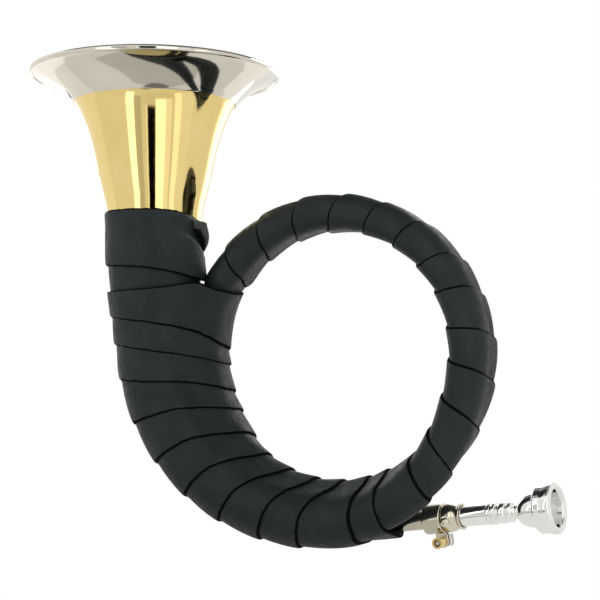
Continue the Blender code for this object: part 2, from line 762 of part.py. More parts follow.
def build_clamp(parts, cutters, pipe):
    """A split collar with two ears below, drawn together by the thumb screw."""
    half = CLAMP_LENGTH / 2
    inner = PIPE_RADIUS + GAP
    edge = 0.0006
    points = [
        (CLAMP_RADIUS - edge, half),
        (CLAMP_RADIUS, half - edge),
        (CLAMP_RADIUS, edge - half),
        (CLAMP_RADIUS - edge, -half),
        (inner, -half),
        (inner, half),
    ]
    collar = turned("clamp_collar", points, NICKEL, parts, pipe, segments=28)
    reach = EAR_LENGTH / 2
    top = half - 0.0002
    below = CLAMP_RADIUS + 0.0008
    outline = [(CLAMP_RADIUS - 0.0012, screw_along() - reach), (CLAMP_RADIUS - 0.0012, top), (below, top)]
    outline.append((below, screw_along() + reach))
    for turn in range(90, -91, -30):
        angle = math.radians(turn)
        outline.append((SCREW_DROP + reach * math.cos(angle), screw_along() + reach * math.sin(angle)))
    ears = prism("clamp_ears_union", outline, -ear_outer(), ear_outer(), NICKEL, cutters, pipe)
    slot = box(
        "clamp_slot_cutter",
        (-CLAMP_SLOT / 2, 0.0, -half - 0.001),
        (CLAMP_SLOT / 2, SCREW_DROP + EAR_LENGTH, screw_along() + EAR_LENGTH),
        STEEL,
        cutters,
        pipe,
    )
    hole = cylinder(
        "clamp_hole_cutter",
        SCREW_RADIUS + RUNNING_GAP,
        (-2.0 * ear_outer(), SCREW_DROP, screw_along()),
        (2.0 * ear_outer(), SCREW_DROP, screw_along()),
        STEEL,
        cutters,
        pipe,
    )
    combine(collar, ears, "UNION")
    for piece in (slot, hole):
        combine(collar, piece, "DIFFERENCE")


def build_clamp_screw(parts, cutters, pipe):
    """The threaded barrel on the front ear, the thumb screw from the back and its washer."""
    axis = bpy.data.objects.new("clamp_screw_axis", None)
    parts.objects.link(axis)
    axis.parent = pipe
    axis.location = (0.0, SCREW_DROP, screw_along())
    axis.rotation_euler = (0.0, math.radians(90.0), 0.0)
    bore = SCREW_RADIUS + RUNNING_GAP
    start = ear_outer() + GAP
    edge = 0.0003
    barrel = [
        (BARREL_RADIUS - edge, start + BARREL_LENGTH),
        (BARREL_RADIUS, start + BARREL_LENGTH - edge),
        (BARREL_RADIUS, start),
        (bore, start),
        (bore, start + BARREL_LENGTH),
    ]
    turned("clamp_barrel", barrel, BRASS, parts, axis)
    back = -ear_outer() - GAP
    washer = ring_points(WASHER_RADIUS, bore, back, back - WASHER_THICKNESS)
    turned("clamp_washer", washer, SILVER, parts, axis)
    head = back - WASHER_THICKNESS - GAP
    screw_points = [
        (0.0, head + SCREW_LENGTH),
        (SCREW_RADIUS - edge, head + SCREW_LENGTH),
        (SCREW_RADIUS, head + SCREW_LENGTH - edge),
        (SCREW_RADIUS, head),
        (HEAD_RADIUS, head),
        (HEAD_RADIUS, head - HEAD_LENGTH + edge),
        (HEAD_RADIUS - edge, head - HEAD_LENGTH),
        (0.0, head - HEAD_LENGTH),
    ]
    screw = turned("clamp_screw", screw_points, STEEL, parts, axis, closed=False)
    tip = head - HEAD_LENGTH - WING_LENGTH
    wing = box(
        "clamp_wing_union",
        (-WING_HEIGHT / 2, -WING_THICKNESS / 2, tip),
        (WING_HEIGHT / 2, WING_THICKNESS / 2, head - HEAD_LENGTH + 0.0004),
        STEEL,
        cutters,
        axis,
    )
    rounding = wing.modifiers.new("round", "BEVEL")
    rounding.width = WING_THICKNESS * 0.3
    rounding.segments = 1
    combine(screw, wing, "UNION")


def slide_end():
    """Front end of the tuning slide, inside the receiver's socket."""
    return receiver_start() + RECEIVER_SOCKET - GAP


def receiver_start():
    return CLAMP_LENGTH / 2 + GAP


def build_slide(parts, pipe):
    """The inner tube, which slides in the mouthpipe sleeve to tune the horn."""
    end = slide_end()
    points = ring_points(SLIDE_RADIUS, SLIDE_RADIUS - SLIDE_WALL, end, end - SLIDE_LENGTH)
    turned("tuning_slide", points, NICKEL, parts, pipe)


def shank_radius(along):
    """Outer radius of the mouthpiece's tapered shank, counted from the receiver's mouth."""
    return SHANK_RADIUS + SHANK_TAPER * along


def build_receiver(parts, cutters, pipe):
    """The socket for the mouthpiece, pinned to the tuning slide by a round-headed screw."""
    start = receiver_start()
    end = start + RECEIVER_LENGTH
    socket = start + RECEIVER_SOCKET
    points = [
        (RECEIVER_LIP_RADIUS + 0.0004, end),
        (RECEIVER_LIP_RADIUS + 0.0004, end - 0.0007),
        (RECEIVER_LIP_RADIUS - 0.0002, end - 0.0010),
        (RECEIVER_LIP_RADIUS + 0.0002, end - 0.0030),
        (RECEIVER_RADIUS - 0.0002, end - 0.0048),
        (RECEIVER_RADIUS, end - 0.0066),
        (RECEIVER_RADIUS, start + 0.0006),
        (RECEIVER_RADIUS - 0.0006, start),
        (SLIDE_RADIUS + GAP, start),
        (SLIDE_RADIUS + GAP, socket),
        (shank_radius(socket - end) + GAP, socket),
        (shank_radius(0.0) + GAP, end),
    ]
    receiver = turned("receiver", points, NICKEL, parts, pipe, segments=28)
    tilt = math.radians(14.0)
    ray = Vector((math.cos(tilt), math.sin(tilt), 0.0))
    at = Vector((0.0, 0.0, start + 0.0033))
    seat = RECEIVER_RADIUS - 0.0007
    pocket = cylinder(
        "receiver_pocket_cutter",
        RECEIVER_SCREW_RADIUS * 0.62,
        at + ray * seat,
        at + ray * (RECEIVER_RADIUS + 0.004),
        STEEL,
        cutters,
        pipe,
    )
    combine(receiver, pocket, "DIFFERENCE")
    foot = seat + GAP
    head = RECEIVER_RADIUS + GAP
    stud = RECEIVER_SCREW_RADIUS * 0.62 - GAP
    profile = [
        (0.0, head + RECEIVER_SCREW_HEAD),
        (RECEIVER_SCREW_RADIUS * 0.62, head + RECEIVER_SCREW_HEAD * 0.82),
        (RECEIVER_SCREW_RADIUS, head + RECEIVER_SCREW_HEAD * 0.30),
        (RECEIVER_SCREW_RADIUS, head),
        (stud, head),
        (stud, foot),
        (0.0, foot),
    ]
    screw = turned("receiver_screw", profile, NICKEL, parts, pipe, closed=False)
    screw.location = at
    screw.rotation_euler = ray.to_track_quat("Z", "Y").to_euler()


def build_mouthpiece(parts, pipe):
    """Tapered shank, turned beads, cup and a heavy rim, with a bore right through."""
    end = receiver_start() + RECEIVER_LENGTH
    foot = end - SHANK_DEPTH
    beads = end + SHANK_SHOWN
    cup = beads + BEADS_LENGTH
    rim = cup + CUP_LENGTH
    face = rim + MOUTH_RIM_LENGTH
    outer = [
        (CUP_BORE + 0.0013, face),
        (MOUTH_FACE_RADIUS - 0.0009, face - 0.0004),
        (MOUTH_FACE_RADIUS, face - 0.0015),
        (MOUTH_FACE_RADIUS - 0.0003, face - 0.0032),
        (MOUTH_RIM_RADIUS, face - 0.0052),
        (MOUTH_RIM_RADIUS, rim + 0.0012),
        (MOUTH_RIM_RADIUS - 0.0010, rim + 0.0002),
        (CUP_RADIUS - 0.0003, rim),
        (CUP_RADIUS, rim - 0.0010),
        (0.94 * CUP_RADIUS, rim - 0.34 * CUP_LENGTH),
        (0.76 * CUP_RADIUS, rim - 0.66 * CUP_LENGTH),
        (NECK_RADIUS + 0.0008, cup + 0.0012),
        (NECK_RADIUS, cup),
    ]
    for centre, radius, half in ((0.86, 0.0045, 0.0014), (0.56, 0.0052, 0.0026), (0.27, 0.0052, 0.0012)):
        middle = beads + centre * BEADS_LENGTH
        outer += [
            (NECK_RADIUS + 0.0006, middle + half),
            (radius, middle + 0.45 * half),
            (radius, middle - 0.45 * half),
            (NECK_RADIUS + 0.0009, middle - half),
        ]
    outer += [
        (SHANK_RADIUS + 0.0003, beads + 0.0022),
        (SHANK_RADIUS + 0.0003, beads + 0.0004),
        (shank_radius(SHANK_SHOWN * 0.9), beads),
        (shank_radius(-SHANK_DEPTH), foot),
    ]
    inner = [
        (SLIDE_RADIUS - SLIDE_WALL - 0.0001, foot),
        (MOUTHPIECE_BORE, cup + 0.0006),
        (MOUTHPIECE_BORE, cup + 0.0030),
        (0.55 * CUP_BORE, cup + 0.0058),
        (0.86 * CUP_BORE, rim + 0.0010),
        (CUP_BORE, face - 0.0030),
        (CUP_BORE, face - 0.0010),
    ]
    turned("mouthpiece", outer + inner, SILVER, parts, pipe, segments=24)


def stand_on_origin(parts):
    """Moves the whole horn so that the origin is under its middle, at its lowest point."""
    bpy.context.view_layer.update()
    graph = bpy.context.evaluated_depsgraph_get()
    corners = []
    for obj in parts.objects:
        if obj.type != "MESH":
            continue
        shape = obj.evaluated_get(graph)
        corners += [shape.matrix_world @ vertex.co for vertex in shape.data.vertices]
    places = np.array(corners)
    low, high = places.min(axis=0), places.max(axis=0)
    shift = Vector((-(low[0] + high[0]) / 2, -(low[1] + high[1]) / 2, -low[2]))
    return shift


def report_places(shift, pipe):
    """Prints the joints' axes and the coil's centre in the horn's own frame."""
    along = pipe_direction()
    frame = pipe_frame()
    screw = frame @ Vector((0.0, SCREW_DROP, screw_along())) + shift
    face = frame @ Vector((0.0, 0.0, receiver_start() + RECEIVER_LENGTH)) + shift
    print("coil centre", [round(v, 5) for v in shift])
    print("mouthpipe direction", [round(v, 6) for v in along])
    print("screw axis at", [round(v, 5) for v in screw], "towards the front", [round(v, 6) for v in frame.col[0][:3]])
    print("receiver mouth", [round(v, 5) for v in face])


def main():
    clear_scene()
    parts = new_collection(OBJECT_NAME)
    cutters = new_collection("cutters", hidden=True)
    root = bpy.data.objects.new("horn_origin", None)
    parts.objects.link(root)
    pipe = bpy.data.objects.new("mouthpipe_axis", None)
    parts.objects.link(pipe)
    pipe.matrix_world = pipe_frame()
    build_coils(parts)
    build_bell_bow(parts)
    build_bell(parts)
    build_garland(parts)
    build_ferrules(parts)
    build_stays(parts)
    build_pipe(parts, cutters, pipe)
    build_clamp(parts, cutters, pipe)
    build_clamp_screw(parts, cutters, pipe)
    build_slide(parts, pipe)
    build_receiver(parts, cutters, pipe)
    build_mouthpiece(parts, pipe)
    build_winding(parts)
    build_collar(parts)
    for obj in (*parts.objects, *cutters.objects):
        if obj.parent is None and obj is not root:
            obj.parent = root
    shift = stand_on_origin(parts)
    root.location = shift
    report_places(shift, pipe)


main()
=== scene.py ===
"""The looks of the round hunting horn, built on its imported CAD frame.

Lengths in the shapes are millimetres from the coil's centre: X to the mouthpiece, Y away from the
camera and Z up. Coil angles are degrees, clockwise from the bottom seen from the front, and stations
past LIMB_STATION go up the bell branch in level planes. Everything is put in metres in the row frame
last. The outline of a turned piece is a list of (radius, along), with the size of the corner's
rounding as a third number where it differs from the piece's own.
"""

import math

import bmesh
import bpy
import numpy as np
from mathutils import Matrix, Vector, noise


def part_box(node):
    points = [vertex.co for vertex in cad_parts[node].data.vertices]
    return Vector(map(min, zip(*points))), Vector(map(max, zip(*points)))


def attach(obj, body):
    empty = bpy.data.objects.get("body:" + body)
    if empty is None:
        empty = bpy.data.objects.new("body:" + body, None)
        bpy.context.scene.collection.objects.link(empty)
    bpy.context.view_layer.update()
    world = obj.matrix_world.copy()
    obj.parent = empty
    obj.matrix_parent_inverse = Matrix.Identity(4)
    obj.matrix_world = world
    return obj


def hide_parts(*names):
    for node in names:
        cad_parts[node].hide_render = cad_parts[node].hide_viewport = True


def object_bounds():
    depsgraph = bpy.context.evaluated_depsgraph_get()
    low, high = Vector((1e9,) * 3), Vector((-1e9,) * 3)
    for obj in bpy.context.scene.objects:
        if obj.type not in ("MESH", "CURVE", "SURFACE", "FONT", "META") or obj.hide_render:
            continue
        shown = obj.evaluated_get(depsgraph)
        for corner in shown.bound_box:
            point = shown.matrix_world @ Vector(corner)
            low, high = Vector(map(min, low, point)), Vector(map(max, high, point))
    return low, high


MM = 0.001

# Camera, from the photograph's perspective
VIEW_AZIMUTH = 21.0
VIEW_DISTANCE = 639.0
VIEW_ASIDE = -18.0
FOCAL_PX = 1248.0
HORIZON_PX = 354.0
FRAME_PX = 600.0
SENSOR_MM = 36.0
CLIP_START_M = 0.01

# Coil and bell branch, as in the CAD
COIL_RADIUS = 71.9
COIL_PITCH = 14.0
TUBE_RADIUS = 5.6
PIPE_LEAVES_DEG = -8.5
FIRST_TURN_SWING = 2.6
PIPE_RADIAL = COIL_RADIUS + 17.4
PIPE_DEPTH = 9.6
PIPE_TOE_DEG = 10.1
PIPE_BEND_LENGTH = 10.0
PIPE_JOINS_COIL_DEG = 62.0
PIPE_RADIUS = 4.8
PIPE_WALL = 0.5
BRANCH_STARTS_DEG = 640.0
BRANCH_BOTTOM_DEG = 720.0
BRANCH_BOTTOM_RADIAL = COIL_RADIUS + 11.8
BELL_AXIS_X = COIL_RADIUS + 23.6
STEM_LEAN = 1.5
BELL_DEPTH = 15.0
BOTTOM_TUBE_RADIUS = 10.8
LEFT_TUBE_RADIUS = 18.6
BELL_JOINT_Z = 46.0
BELL_JOINT_RADIUS = 23.2
JOINT_GAP = 0.3

# Bell
RIM_Z = 146.4
RIM_RADIUS = 65.5
BEAD_RADIUS = 1.5
SEAM_Z = 131.5
BELL_WALL = 0.8
GARLAND_LIFT = 0.5
GARLAND_GAP = 0.06
# Radius of the flare by height
FLARE_KNOTS = [(SEAM_Z, 41.8), (134.0, 44.2), (136.5, 46.7), (140.5, 51.6)]
FLARE_KNOTS += [(143.9, 57.0), (145.6, 61.0), (146.2, 63.2)]

# Leather
LEATHER = 1.05
WRAP_BASE = 1.05
OVERLAP = 0.16
FALL = (LEATHER + 0.12) / (1.0 - OVERLAP)
CROWN = 0.32
LIMB_STATION = 450.0
LIMB_FLARE = 0.3
LIMB_FLARE_HEIGHT = 9.0
PIPE_WRAPPED_FROM_TURN = 14.5
# Offset from the tubes at which a height on the winding is taken
FACE_OFFSET = 2.0
# The ring's leather starts under the limb's at TUCK_Z. It stays thin for TUCK_THIN, and after a further
# TUCK_RISE it is full
TUCK_Z = 27.0
TUCK_THIN = 5.0
TUCK_RISE = 8.0
TUCKED_BEFORE_STATION = 150.0
TUCKED_EDGES_BEFORE = 135.0
# Shares of its lift and of its thickness that the tucked leather keeps
TUCKED_LIFT, TUCKED_THICKNESS = 0.10, 0.45
# Waves of the cut edge, as waves to a turn and degrees of station
EDGE_WAVES = [(2.3, 0.30), (19.0, 0.20), (53.0, 0.22)]
TURN_POINTS = 144
# Share of a turn in which the strip's end narrows to nothing, and its least width in degrees of station
STRIP_TAIL = 0.25
LEAST_WIDTH = 0.6
HULL_POINTS = 96
CORNER_EASING = 60
FIRST_STATION, LAST_STATION = 92.0, 480.0

# Station of each turn's raised edge where it crosses the outer side, from the far end to the bell
OUTER_EDGES = [95.0, 114.0, 135.0, 153.0, 169.8, 187.2, 202.2, 217.0, 234.3]
OUTER_EDGES += [247.9, 263.6, 278.6, 295.5, 313.0, 323.2, 339.5, 348.7, 367.2]
OUTER_EDGES += [379.6, 392.9, 405.3, 417.9, 430.3, 443.3, 453.0, 462.2, 478.0]
# The same where it crosses the inner side, further round towards the far end
INNER_EDGES = [91.0, 107.0, 123.6, 141.4, 159.4, 175.6, 194.0, 210.3, 224.9]
INNER_EDGES += [239.6, 256.4, 270.4, 286.2, 302.4, 318.0, 334.6, 343.6, 356.8]
INNER_EDGES += [369.3, 382.3, 395.5, 409.4, 422.8, 432.8, 445.6, 452.6, 474.0]
# How much of its way from the inner to the outer side an edge has gone in front, by station
FRONT_SHARES = [(90.0, 0.5), (300.0, 0.5), (350.0, 0.95), (425.0, 0.95), (445.0, 0.7), (480.0, 0.7)]
# Turns between an edge's knots in front, and shares of its way a step before and after the inner side
FRONT_STEP, FRONT_BEFORE, FRONT_MIDDLE = 0.12, 0.25, 0.66
# Where the camera sees the inner and the outer side, in turns before the outermost point, and how much
# of a turn that moves round the coil
INNER_SEEN, INNER_SEEN_MOVES = 0.51, 0.05
OUTER_SEEN, OUTER_SEEN_MOVES = 0.02, 0.055
# Height of the limb's upper edge by the share of a turn. It peaks at the front of the notch
LIMB_TOP = [(0.0, 33.0), (0.25, 35.0), (0.44, 32.0), (0.52, 33.6), (0.585, 37.0)]
LIMB_TOP += [(0.64, 35.2), (0.72, 33.4), (0.82, 32.6), (0.92, 32.2), (1.0, 33.0)]

# Collar
UNDER_BAND_LOW, UNDER_BAND_HIGH = 27.0, 49.0
COLLAR_FOOT_Z, COLLAR_TOP_Z = 46.2, 74.2
RING_SIDE_DEG, NOTCH_DEG = 20.0, -62.0
FOOT_DROP_AT_NOTCH, FOOT_DROP_AT_RING, TOP_DROP_AT_RING = 1.7, 7.6, 5.6
COLLAR_RAGGED = 0.45
BAND_SEGMENTS = 240
BAND_EDGE_SHARE, BAND_SWELL, BAND_RIPPLE = 0.03, 0.25, 0.25
# Height of the collar's fold by the angle round the stem, 0 on the ring's side
FOLD_KNOTS = [(-180.0, 66.0), (-90.0, 66.0), (-52.0, 65.0), (-19.5, 62.0), (-3.0, 58.5)]
FOLD_KNOTS += [(11.0, 54.5), (30.0, 52.0), (90.0, 54.0), (180.0, 60.0)]
FOLD_STEP = 0.75
ABOVE_FOLD = 200.0
# The strip's folded end: its top, its length down the stem, and the angles of its two sides along it
FOLDED_END_TOP, FOLDED_END_LENGTH = 69.0, 14.8
FOLDED_END_FIRST = [(0.0, -16.0), (0.35, -13.0), (0.7, 2.0), (1.0, 13.0)]
FOLDED_END_LAST = [(0.0, 34.0), (0.3, 38.0), (0.7, 32.0), (1.0, 17.0)]
FOLDED_END_THICKNESS = 0.85

# Tuning slide, clamp and mouthpiece, along the mouthpipe from the middle of the clamp
CLAMP_FROM_BEND = 27.1
RING_FROM, RING_TO = -2.2, 7.7
CLAMP_RADIUS = 7.5
CLAMP_BORE = 5.1
CLAMP_SLOT_HALF = 0.6
EAR_RADIUS = 3.1
EAR_THICKNESS = 1.4
SCREW_DROP = 11.4
SCREW_ALONG = 5.5
SCREW_PITCH = 0.5
SCREW_THREADS = 22
WING_HALF = 0.75
INNER_SLIDE_START = -21.5
RECEIVER_START = 8.0
RECEIVER_END = 17.6
PIN_HEAD_ALONG = 2.6
PIN_HEAD_TILT_DEG = 14.0
SHANK_IN_RECEIVER = 9.6

# Stage, with its cards by azimuth from the camera, elevation, width, height and strength
STAGE_FLOOR_M = 6.0
CARD_DISTANCE_M = 0.9
CARDS = [("card_ceiling", 150.0, 78.0, 1.7, 1.5, 0.22), ("card_sheen", 128.0, 30.0, 0.40, 0.30, 34.0)]

# What the bell's polish shows: a table, patches on it, and upright screens round the bell
TABLE_Z = -97.8
NEAR_SCREEN, FAR_SCREEN = 240.0, 330.0
NEAR_FROM_DEG, NEAR_TO_DEG = -60.0, 61.0
SCREEN_TOP = 240.0
SCREEN_STEP_DEG = 5.0
PATCH_LIFT, PATCH_STEP = 0.5, 0.1
WHITE = (1.0, 1.0, 1.0)
WARM = (1.0, 0.985, 0.94)
# Each screen's first and last bearing from the camera, its lower and upper edge, and its strength
BELL_SURROUNDINGS = [
    ("left_glare", -180.0, -149.0, 95.0, SCREEN_TOP, 2.6),
    ("left_tip", -180.0, -144.0, TABLE_Z, 95.0, 1.25),
    ("left_light", -144.0, -100.0, TABLE_Z, SCREEN_TOP, 0.99),
    ("left_plain", -100.0, -46.0, TABLE_Z, SCREEN_TOP, 0.88),
    ("left_pale", -46.0, -33.5, TABLE_Z, SCREEN_TOP, 2.0),
    ("left_brown", -33.5, -22.0, -60.0, SCREEN_TOP, 0.60),
    ("left_tan", -22.0, -14.5, -60.0, SCREEN_TOP, 0.86),
    ("left_cream", -14.5, -12.2, -40.0, SCREEN_TOP, 1.25),
    ("stripe", -12.2, 0.8, -25.0, SCREEN_TOP, 0.0),
    ("under_stripe", -22.0, 1.0, TABLE_Z, -25.0, 0.78),
    ("right_cream", 0.8, 17.0, -48.0, SCREEN_TOP, 1.75),
    ("right_soft", 17.0, 27.0, -48.0, SCREEN_TOP, 1.10),
    ("right_brown", 27.0, 31.0, -60.0, SCREEN_TOP, 0.82),
    ("right_pale", 31.0, 42.0, TABLE_Z, SCREEN_TOP, 1.35),
    ("under_right", 1.0, 31.0, TABLE_Z, -48.0, 0.80),
    ("right_light", 42.0, 60.0, TABLE_Z, SCREEN_TOP, 0.96),
    ("right_tan", 60.0, 116.0, TABLE_Z, SCREEN_TOP, 0.89),
    ("right_edge", 116.0, 121.0, 20.0, SCREEN_TOP, 1.25),
    ("right_glare", 121.0, 146.0, 30.0, SCREEN_TOP, 2.6),
    ("right_tip", 116.0, 170.0, TABLE_Z, 30.0, 1.12),
]
# A thin dark line before the left glare, by bearing and height
LEFT_LINE = [(-166.0, 147.0), (-149.5, 113.0), (-146.5, 84.0)]
LEFT_LINE += [(-148.0, 84.0), (-151.0, 110.0), (-166.0, 142.0)]
LEFT_LINE_STRENGTH = 0.02
LEFT_LINE_BEFORE = 3.0
# Each patch's strength, colour and corners, by bearing and distance from the bell
TABLE_PATCHES = [
    ("round_bell", 0.84, (1.0, 0.985, 0.93), [(bearing, 328.0) for bearing in range(0, 360, 10)]),
    # A dimmer ring round the bell: painted shadow of the horn on the table, which only the polish shows
    ("under_bell", 0.60, (1.0, 0.985, 0.90),
     [(-133.0, 168.0), (-102.0, 121.0), (-68.0, 106.0), (-40.0, 131.0), (-20.0, 140.0), (0.0, 150.0),
      (31.0, 160.0), (70.0, 150.0), (120.0, 120.0), (170.0, 120.0), (200.0, 150.0)]),
    ("eye", 0.22, (1.0, 0.95, 0.90),
     [(-26.0, 190.0), (-20.0, 150.0), (-8.0, 118.0), (8.0, 118.0), (20.0, 132.0), (27.0, 152.0),
      (16.0, 172.0), (0.0, 176.0), (-14.0, 196.0)]),
]


def smooth(x):
    x = min(max(x, 0.0), 1.0)
    return x * x * (3.0 - 2.0 * x)


def through(x, knots):
    """A smooth curve through the knots, with no overshoot between them."""
    xs, ys = np.array(knots, dtype=float).T
    steps = np.diff(ys) / np.diff(xs)
    slopes = np.zeros(len(xs))
    same = steps[:-1] * steps[1:] > 0
    slopes[1:-1][same] = 2.0 * (steps[:-1] * steps[1:])[same] / (steps[:-1] + steps[1:])[same]
    slopes[0], slopes[-1] = steps[0], steps[-1]
    x = float(np.clip(x, xs[0], xs[-1]))
    i = int(min(np.searchsorted(xs, x, side="right") - 1, len(xs) - 2))
    width = xs[i + 1] - xs[i]
    s = (x - xs[i]) / width
    return float(
        ys[i] * (1 + 2 * s) * (1 - s) ** 2
        + slopes[i] * width * s * (1 - s) ** 2
        + ys[i + 1] * s * s * (3 - 2 * s)
        + slopes[i + 1] * width * s * s * (s - 1)
    )


# The route of the tube, as in the CAD


def coil_radial(deg):
    if deg < PIPE_LEAVES_DEG:
        return PIPE_RADIAL / math.cos(math.radians(deg - PIPE_LEAVES_DEG))
    if deg < PIPE_JOINS_COIL_DEG:
        share = (deg - PIPE_LEAVES_DEG) / (PIPE_JOINS_COIL_DEG - PIPE_LEAVES_DEG)
        return PIPE_RADIAL + (COIL_RADIUS - PIPE_RADIAL) * smooth(share)
    if deg <= BRANCH_BOTTOM_DEG:
        share = (deg - BRANCH_STARTS_DEG) / (BRANCH_BOTTOM_DEG - BRANCH_STARTS_DEG)
        branch = (BRANCH_BOTTOM_RADIAL - COIL_RADIUS) * smooth(share)
        return COIL_RADIUS + FIRST_TURN_SWING * swing_share(deg) + branch
    rise = [(0.0, 0.0), (0.17, 0.11), (0.5, 0.50), (0.83, 0.86), (1.0, 1.0)]
    share = through((deg - BRANCH_BOTTOM_DEG) / 90.0, rise)
    return BRANCH_BOTTOM_RADIAL + (stem_axis(0.0) - BRANCH_BOTTOM_RADIAL) * share


def swing_share(deg):
    """How far the end of the first turn swings out past the second one, from 0 to 1."""
    knots = [(200.0, 0.0), (245.0, 0.3), (275.0, 0.9), (300.0, 1.0), (330.0, 0.55), (370.0, 0.35)]
    return through(deg, [*knots, (400.0, 0.0)])


def stem_axis(z):
    """Distance of the bell branch's centre line from the coil's, where the branch stands upright."""
    return BELL_AXIS_X - STEM_LEAN * max(0.0, 1.0 - z / BELL_JOINT_Z) ** 2


def coil_depth(deg):
    """The tube's place along Y, in shares of the coil's pitch along the turns."""
    knots = [(90.0, 0.74), (360.0, 0.0), (540.0, -0.51), (630.0, -0.80), (BRANCH_BOTTOM_DEG, -0.97)]
    if deg < 90.0:
        share = max(0.0, deg - PIPE_LEAVES_DEG) / (90.0 - PIPE_LEAVES_DEG)
        return PIPE_DEPTH + (COIL_PITCH * knots[0][1] - PIPE_DEPTH) * share
    if deg <= BRANCH_BOTTOM_DEG:
        return COIL_PITCH * through(deg, knots)
    bottom = COIL_PITCH * knots[-1][1]
    return bottom - (BELL_DEPTH + bottom) * smooth((deg - BRANCH_BOTTOM_DEG) / 80.0)


def tube_radius(deg):
    knots = [
        (PIPE_LEAVES_DEG, PIPE_RADIUS),
        (90.0, TUBE_RADIUS),
        (590.0, TUBE_RADIUS + 0.3),
        (640.0, TUBE_RADIUS + 1.1),
        (690.0, TUBE_RADIUS + 0.48 * (BOTTOM_TUBE_RADIUS - TUBE_RADIUS)),
        (BRANCH_BOTTOM_DEG, BOTTOM_TUBE_RADIUS),
        (765.0, BOTTOM_TUBE_RADIUS + 0.46 * (LEFT_TUBE_RADIUS - BOTTOM_TUBE_RADIUS)),
        (810.0, LEFT_TUBE_RADIUS),
    ]
    return through(deg, knots)


def stem_radius(z):
    """Outer radius of the upright bell branch, up to the seam of the garland."""
    knots = [(0.0, LEFT_TUBE_RADIUS), (BELL_JOINT_Z, BELL_JOINT_RADIUS), (76.0, 25.4), (86.0, 28.0)]
    knots += [(98.0, 30.6), (109.0, 33.0), (118.0, 35.7), (125.0, 38.6), FLARE_KNOTS[0]]
    return through(z, knots)


def coil_point(deg):
    turn = math.radians(deg)
    radial = coil_radial(deg)
    return Vector((-radial * math.sin(turn), coil_depth(deg), -radial * math.cos(turn)))


def pipe_matrix():
    """Middle of the clamp, with local +Z along the mouthpipe, +X to the front and +Y down."""
    rise, toe = math.radians(-PIPE_LEAVES_DEG), math.radians(PIPE_TOE_DEG)
    along = Vector((math.cos(rise) * math.cos(toe), -math.cos(rise) * math.sin(toe), math.sin(rise)))
    level = Vector((math.cos(rise), 0.0, math.sin(rise)))
    front = Vector((-math.sin(toe), -math.cos(toe), 0.0))
    matrix = Matrix((front, along.cross(front), along)).transposed().to_4x4()
    start = coil_point(PIPE_LEAVES_DEG) + (level + along) * (0.5 * PIPE_BEND_LENGTH)
    matrix.translation = start + along * CLAMP_FROM_BEND
    return matrix


# Frame and helpers

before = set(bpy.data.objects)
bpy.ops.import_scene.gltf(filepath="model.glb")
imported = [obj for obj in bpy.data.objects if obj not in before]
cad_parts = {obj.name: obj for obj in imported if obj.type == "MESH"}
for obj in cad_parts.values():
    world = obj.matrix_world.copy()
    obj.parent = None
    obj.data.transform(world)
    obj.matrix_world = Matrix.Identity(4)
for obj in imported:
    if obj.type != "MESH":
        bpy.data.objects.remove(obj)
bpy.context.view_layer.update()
FLARE_LOW, FLARE_HIGH = (Vector(corner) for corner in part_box("bell_flare"))
CENTRE = (FLARE_LOW + FLARE_HIGH) * 0.5 + Vector((BELL_AXIS_X, BELL_DEPTH, 0.0)) * MM
CENTRE.z = FLARE_LOW.z - (BELL_JOINT_Z + JOINT_GAP / 2) * MM
TO_ROW = Matrix.Translation(CENTRE) @ Matrix.Scale(MM, 4)
PIPE = pipe_matrix()
BELL = Matrix.Translation((-BELL_AXIS_X, -BELL_DEPTH, 0.0))
ACROSS_PIPE = Matrix.Rotation(math.radians(90.0), 4, "Y")
SCREW = PIPE @ Matrix.Translation((0.0, SCREW_DROP, SCREW_ALONG)) @ ACROSS_PIPE


def finish(mesh, place, crisp_deg):
    """Puts a mesh of millimetres in the row frame, closed and with its faces outward."""
    shape = bmesh.new()
    shape.from_mesh(mesh)
    bmesh.ops.remove_doubles(shape, verts=shape.verts, dist=1e-5)
    bmesh.ops.recalc_face_normals(shape, faces=shape.faces)
    shape.transform(TO_ROW @ place)
    shape.to_mesh(mesh)
    shape.free()
    mesh.shade_smooth()
    mesh.set_sharp_from_angle(angle=math.radians(crisp_deg))


def linked(name, mesh):
    """A new object with the mesh, in the scene."""
    obj = bpy.data.objects.new(name, mesh)
    bpy.context.scene.collection.objects.link(obj)
    return obj


def piece(name, vertices, faces, materials, body, slot, replaces, place, crisp_deg=35.0, face_materials=None):
    """A visible piece from points in its place's millimetres, on its body, in place of CAD nodes."""
    mesh = bpy.data.meshes.new(name)
    mesh.from_pydata([tuple(v) for v in vertices], [], faces)
    for material in materials:
        mesh.materials.append(material)
    if face_materials is not None:
        mesh.polygons.foreach_set("material_index", face_materials)
    finish(mesh, place, crisp_deg)
    obj = linked(name, mesh)
    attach(obj, body)
    if replaces:
        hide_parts(*replaces)


def rounded(points, radius, steps=4):
    """The closed outline with its corners rounded, each by the radius or what its sides leave."""
    count = len(points)
    outline = []
    for i, point in enumerate(points):
        corner = Vector(point[:2])
        size = point[2] if len(point) > 2 else radius
        before, after = Vector(points[i - 1][:2]), Vector(points[(i + 1) % count][:2])
        back, ahead = before - corner, after - corner
        reach = min(size, 0.45 * back.length, 0.45 * ahead.length)
        if reach < 1e-4:
            outline.append(tuple(corner))
            continue
        start, end = corner + back.normalized() * reach, corner + ahead.normalized() * reach
        for k in range(steps + 1):
            t = k / steps
            outline.append(tuple(start * (1 - t) ** 2 + corner * (2 * t * (1 - t)) + end * t * t))
    return outline


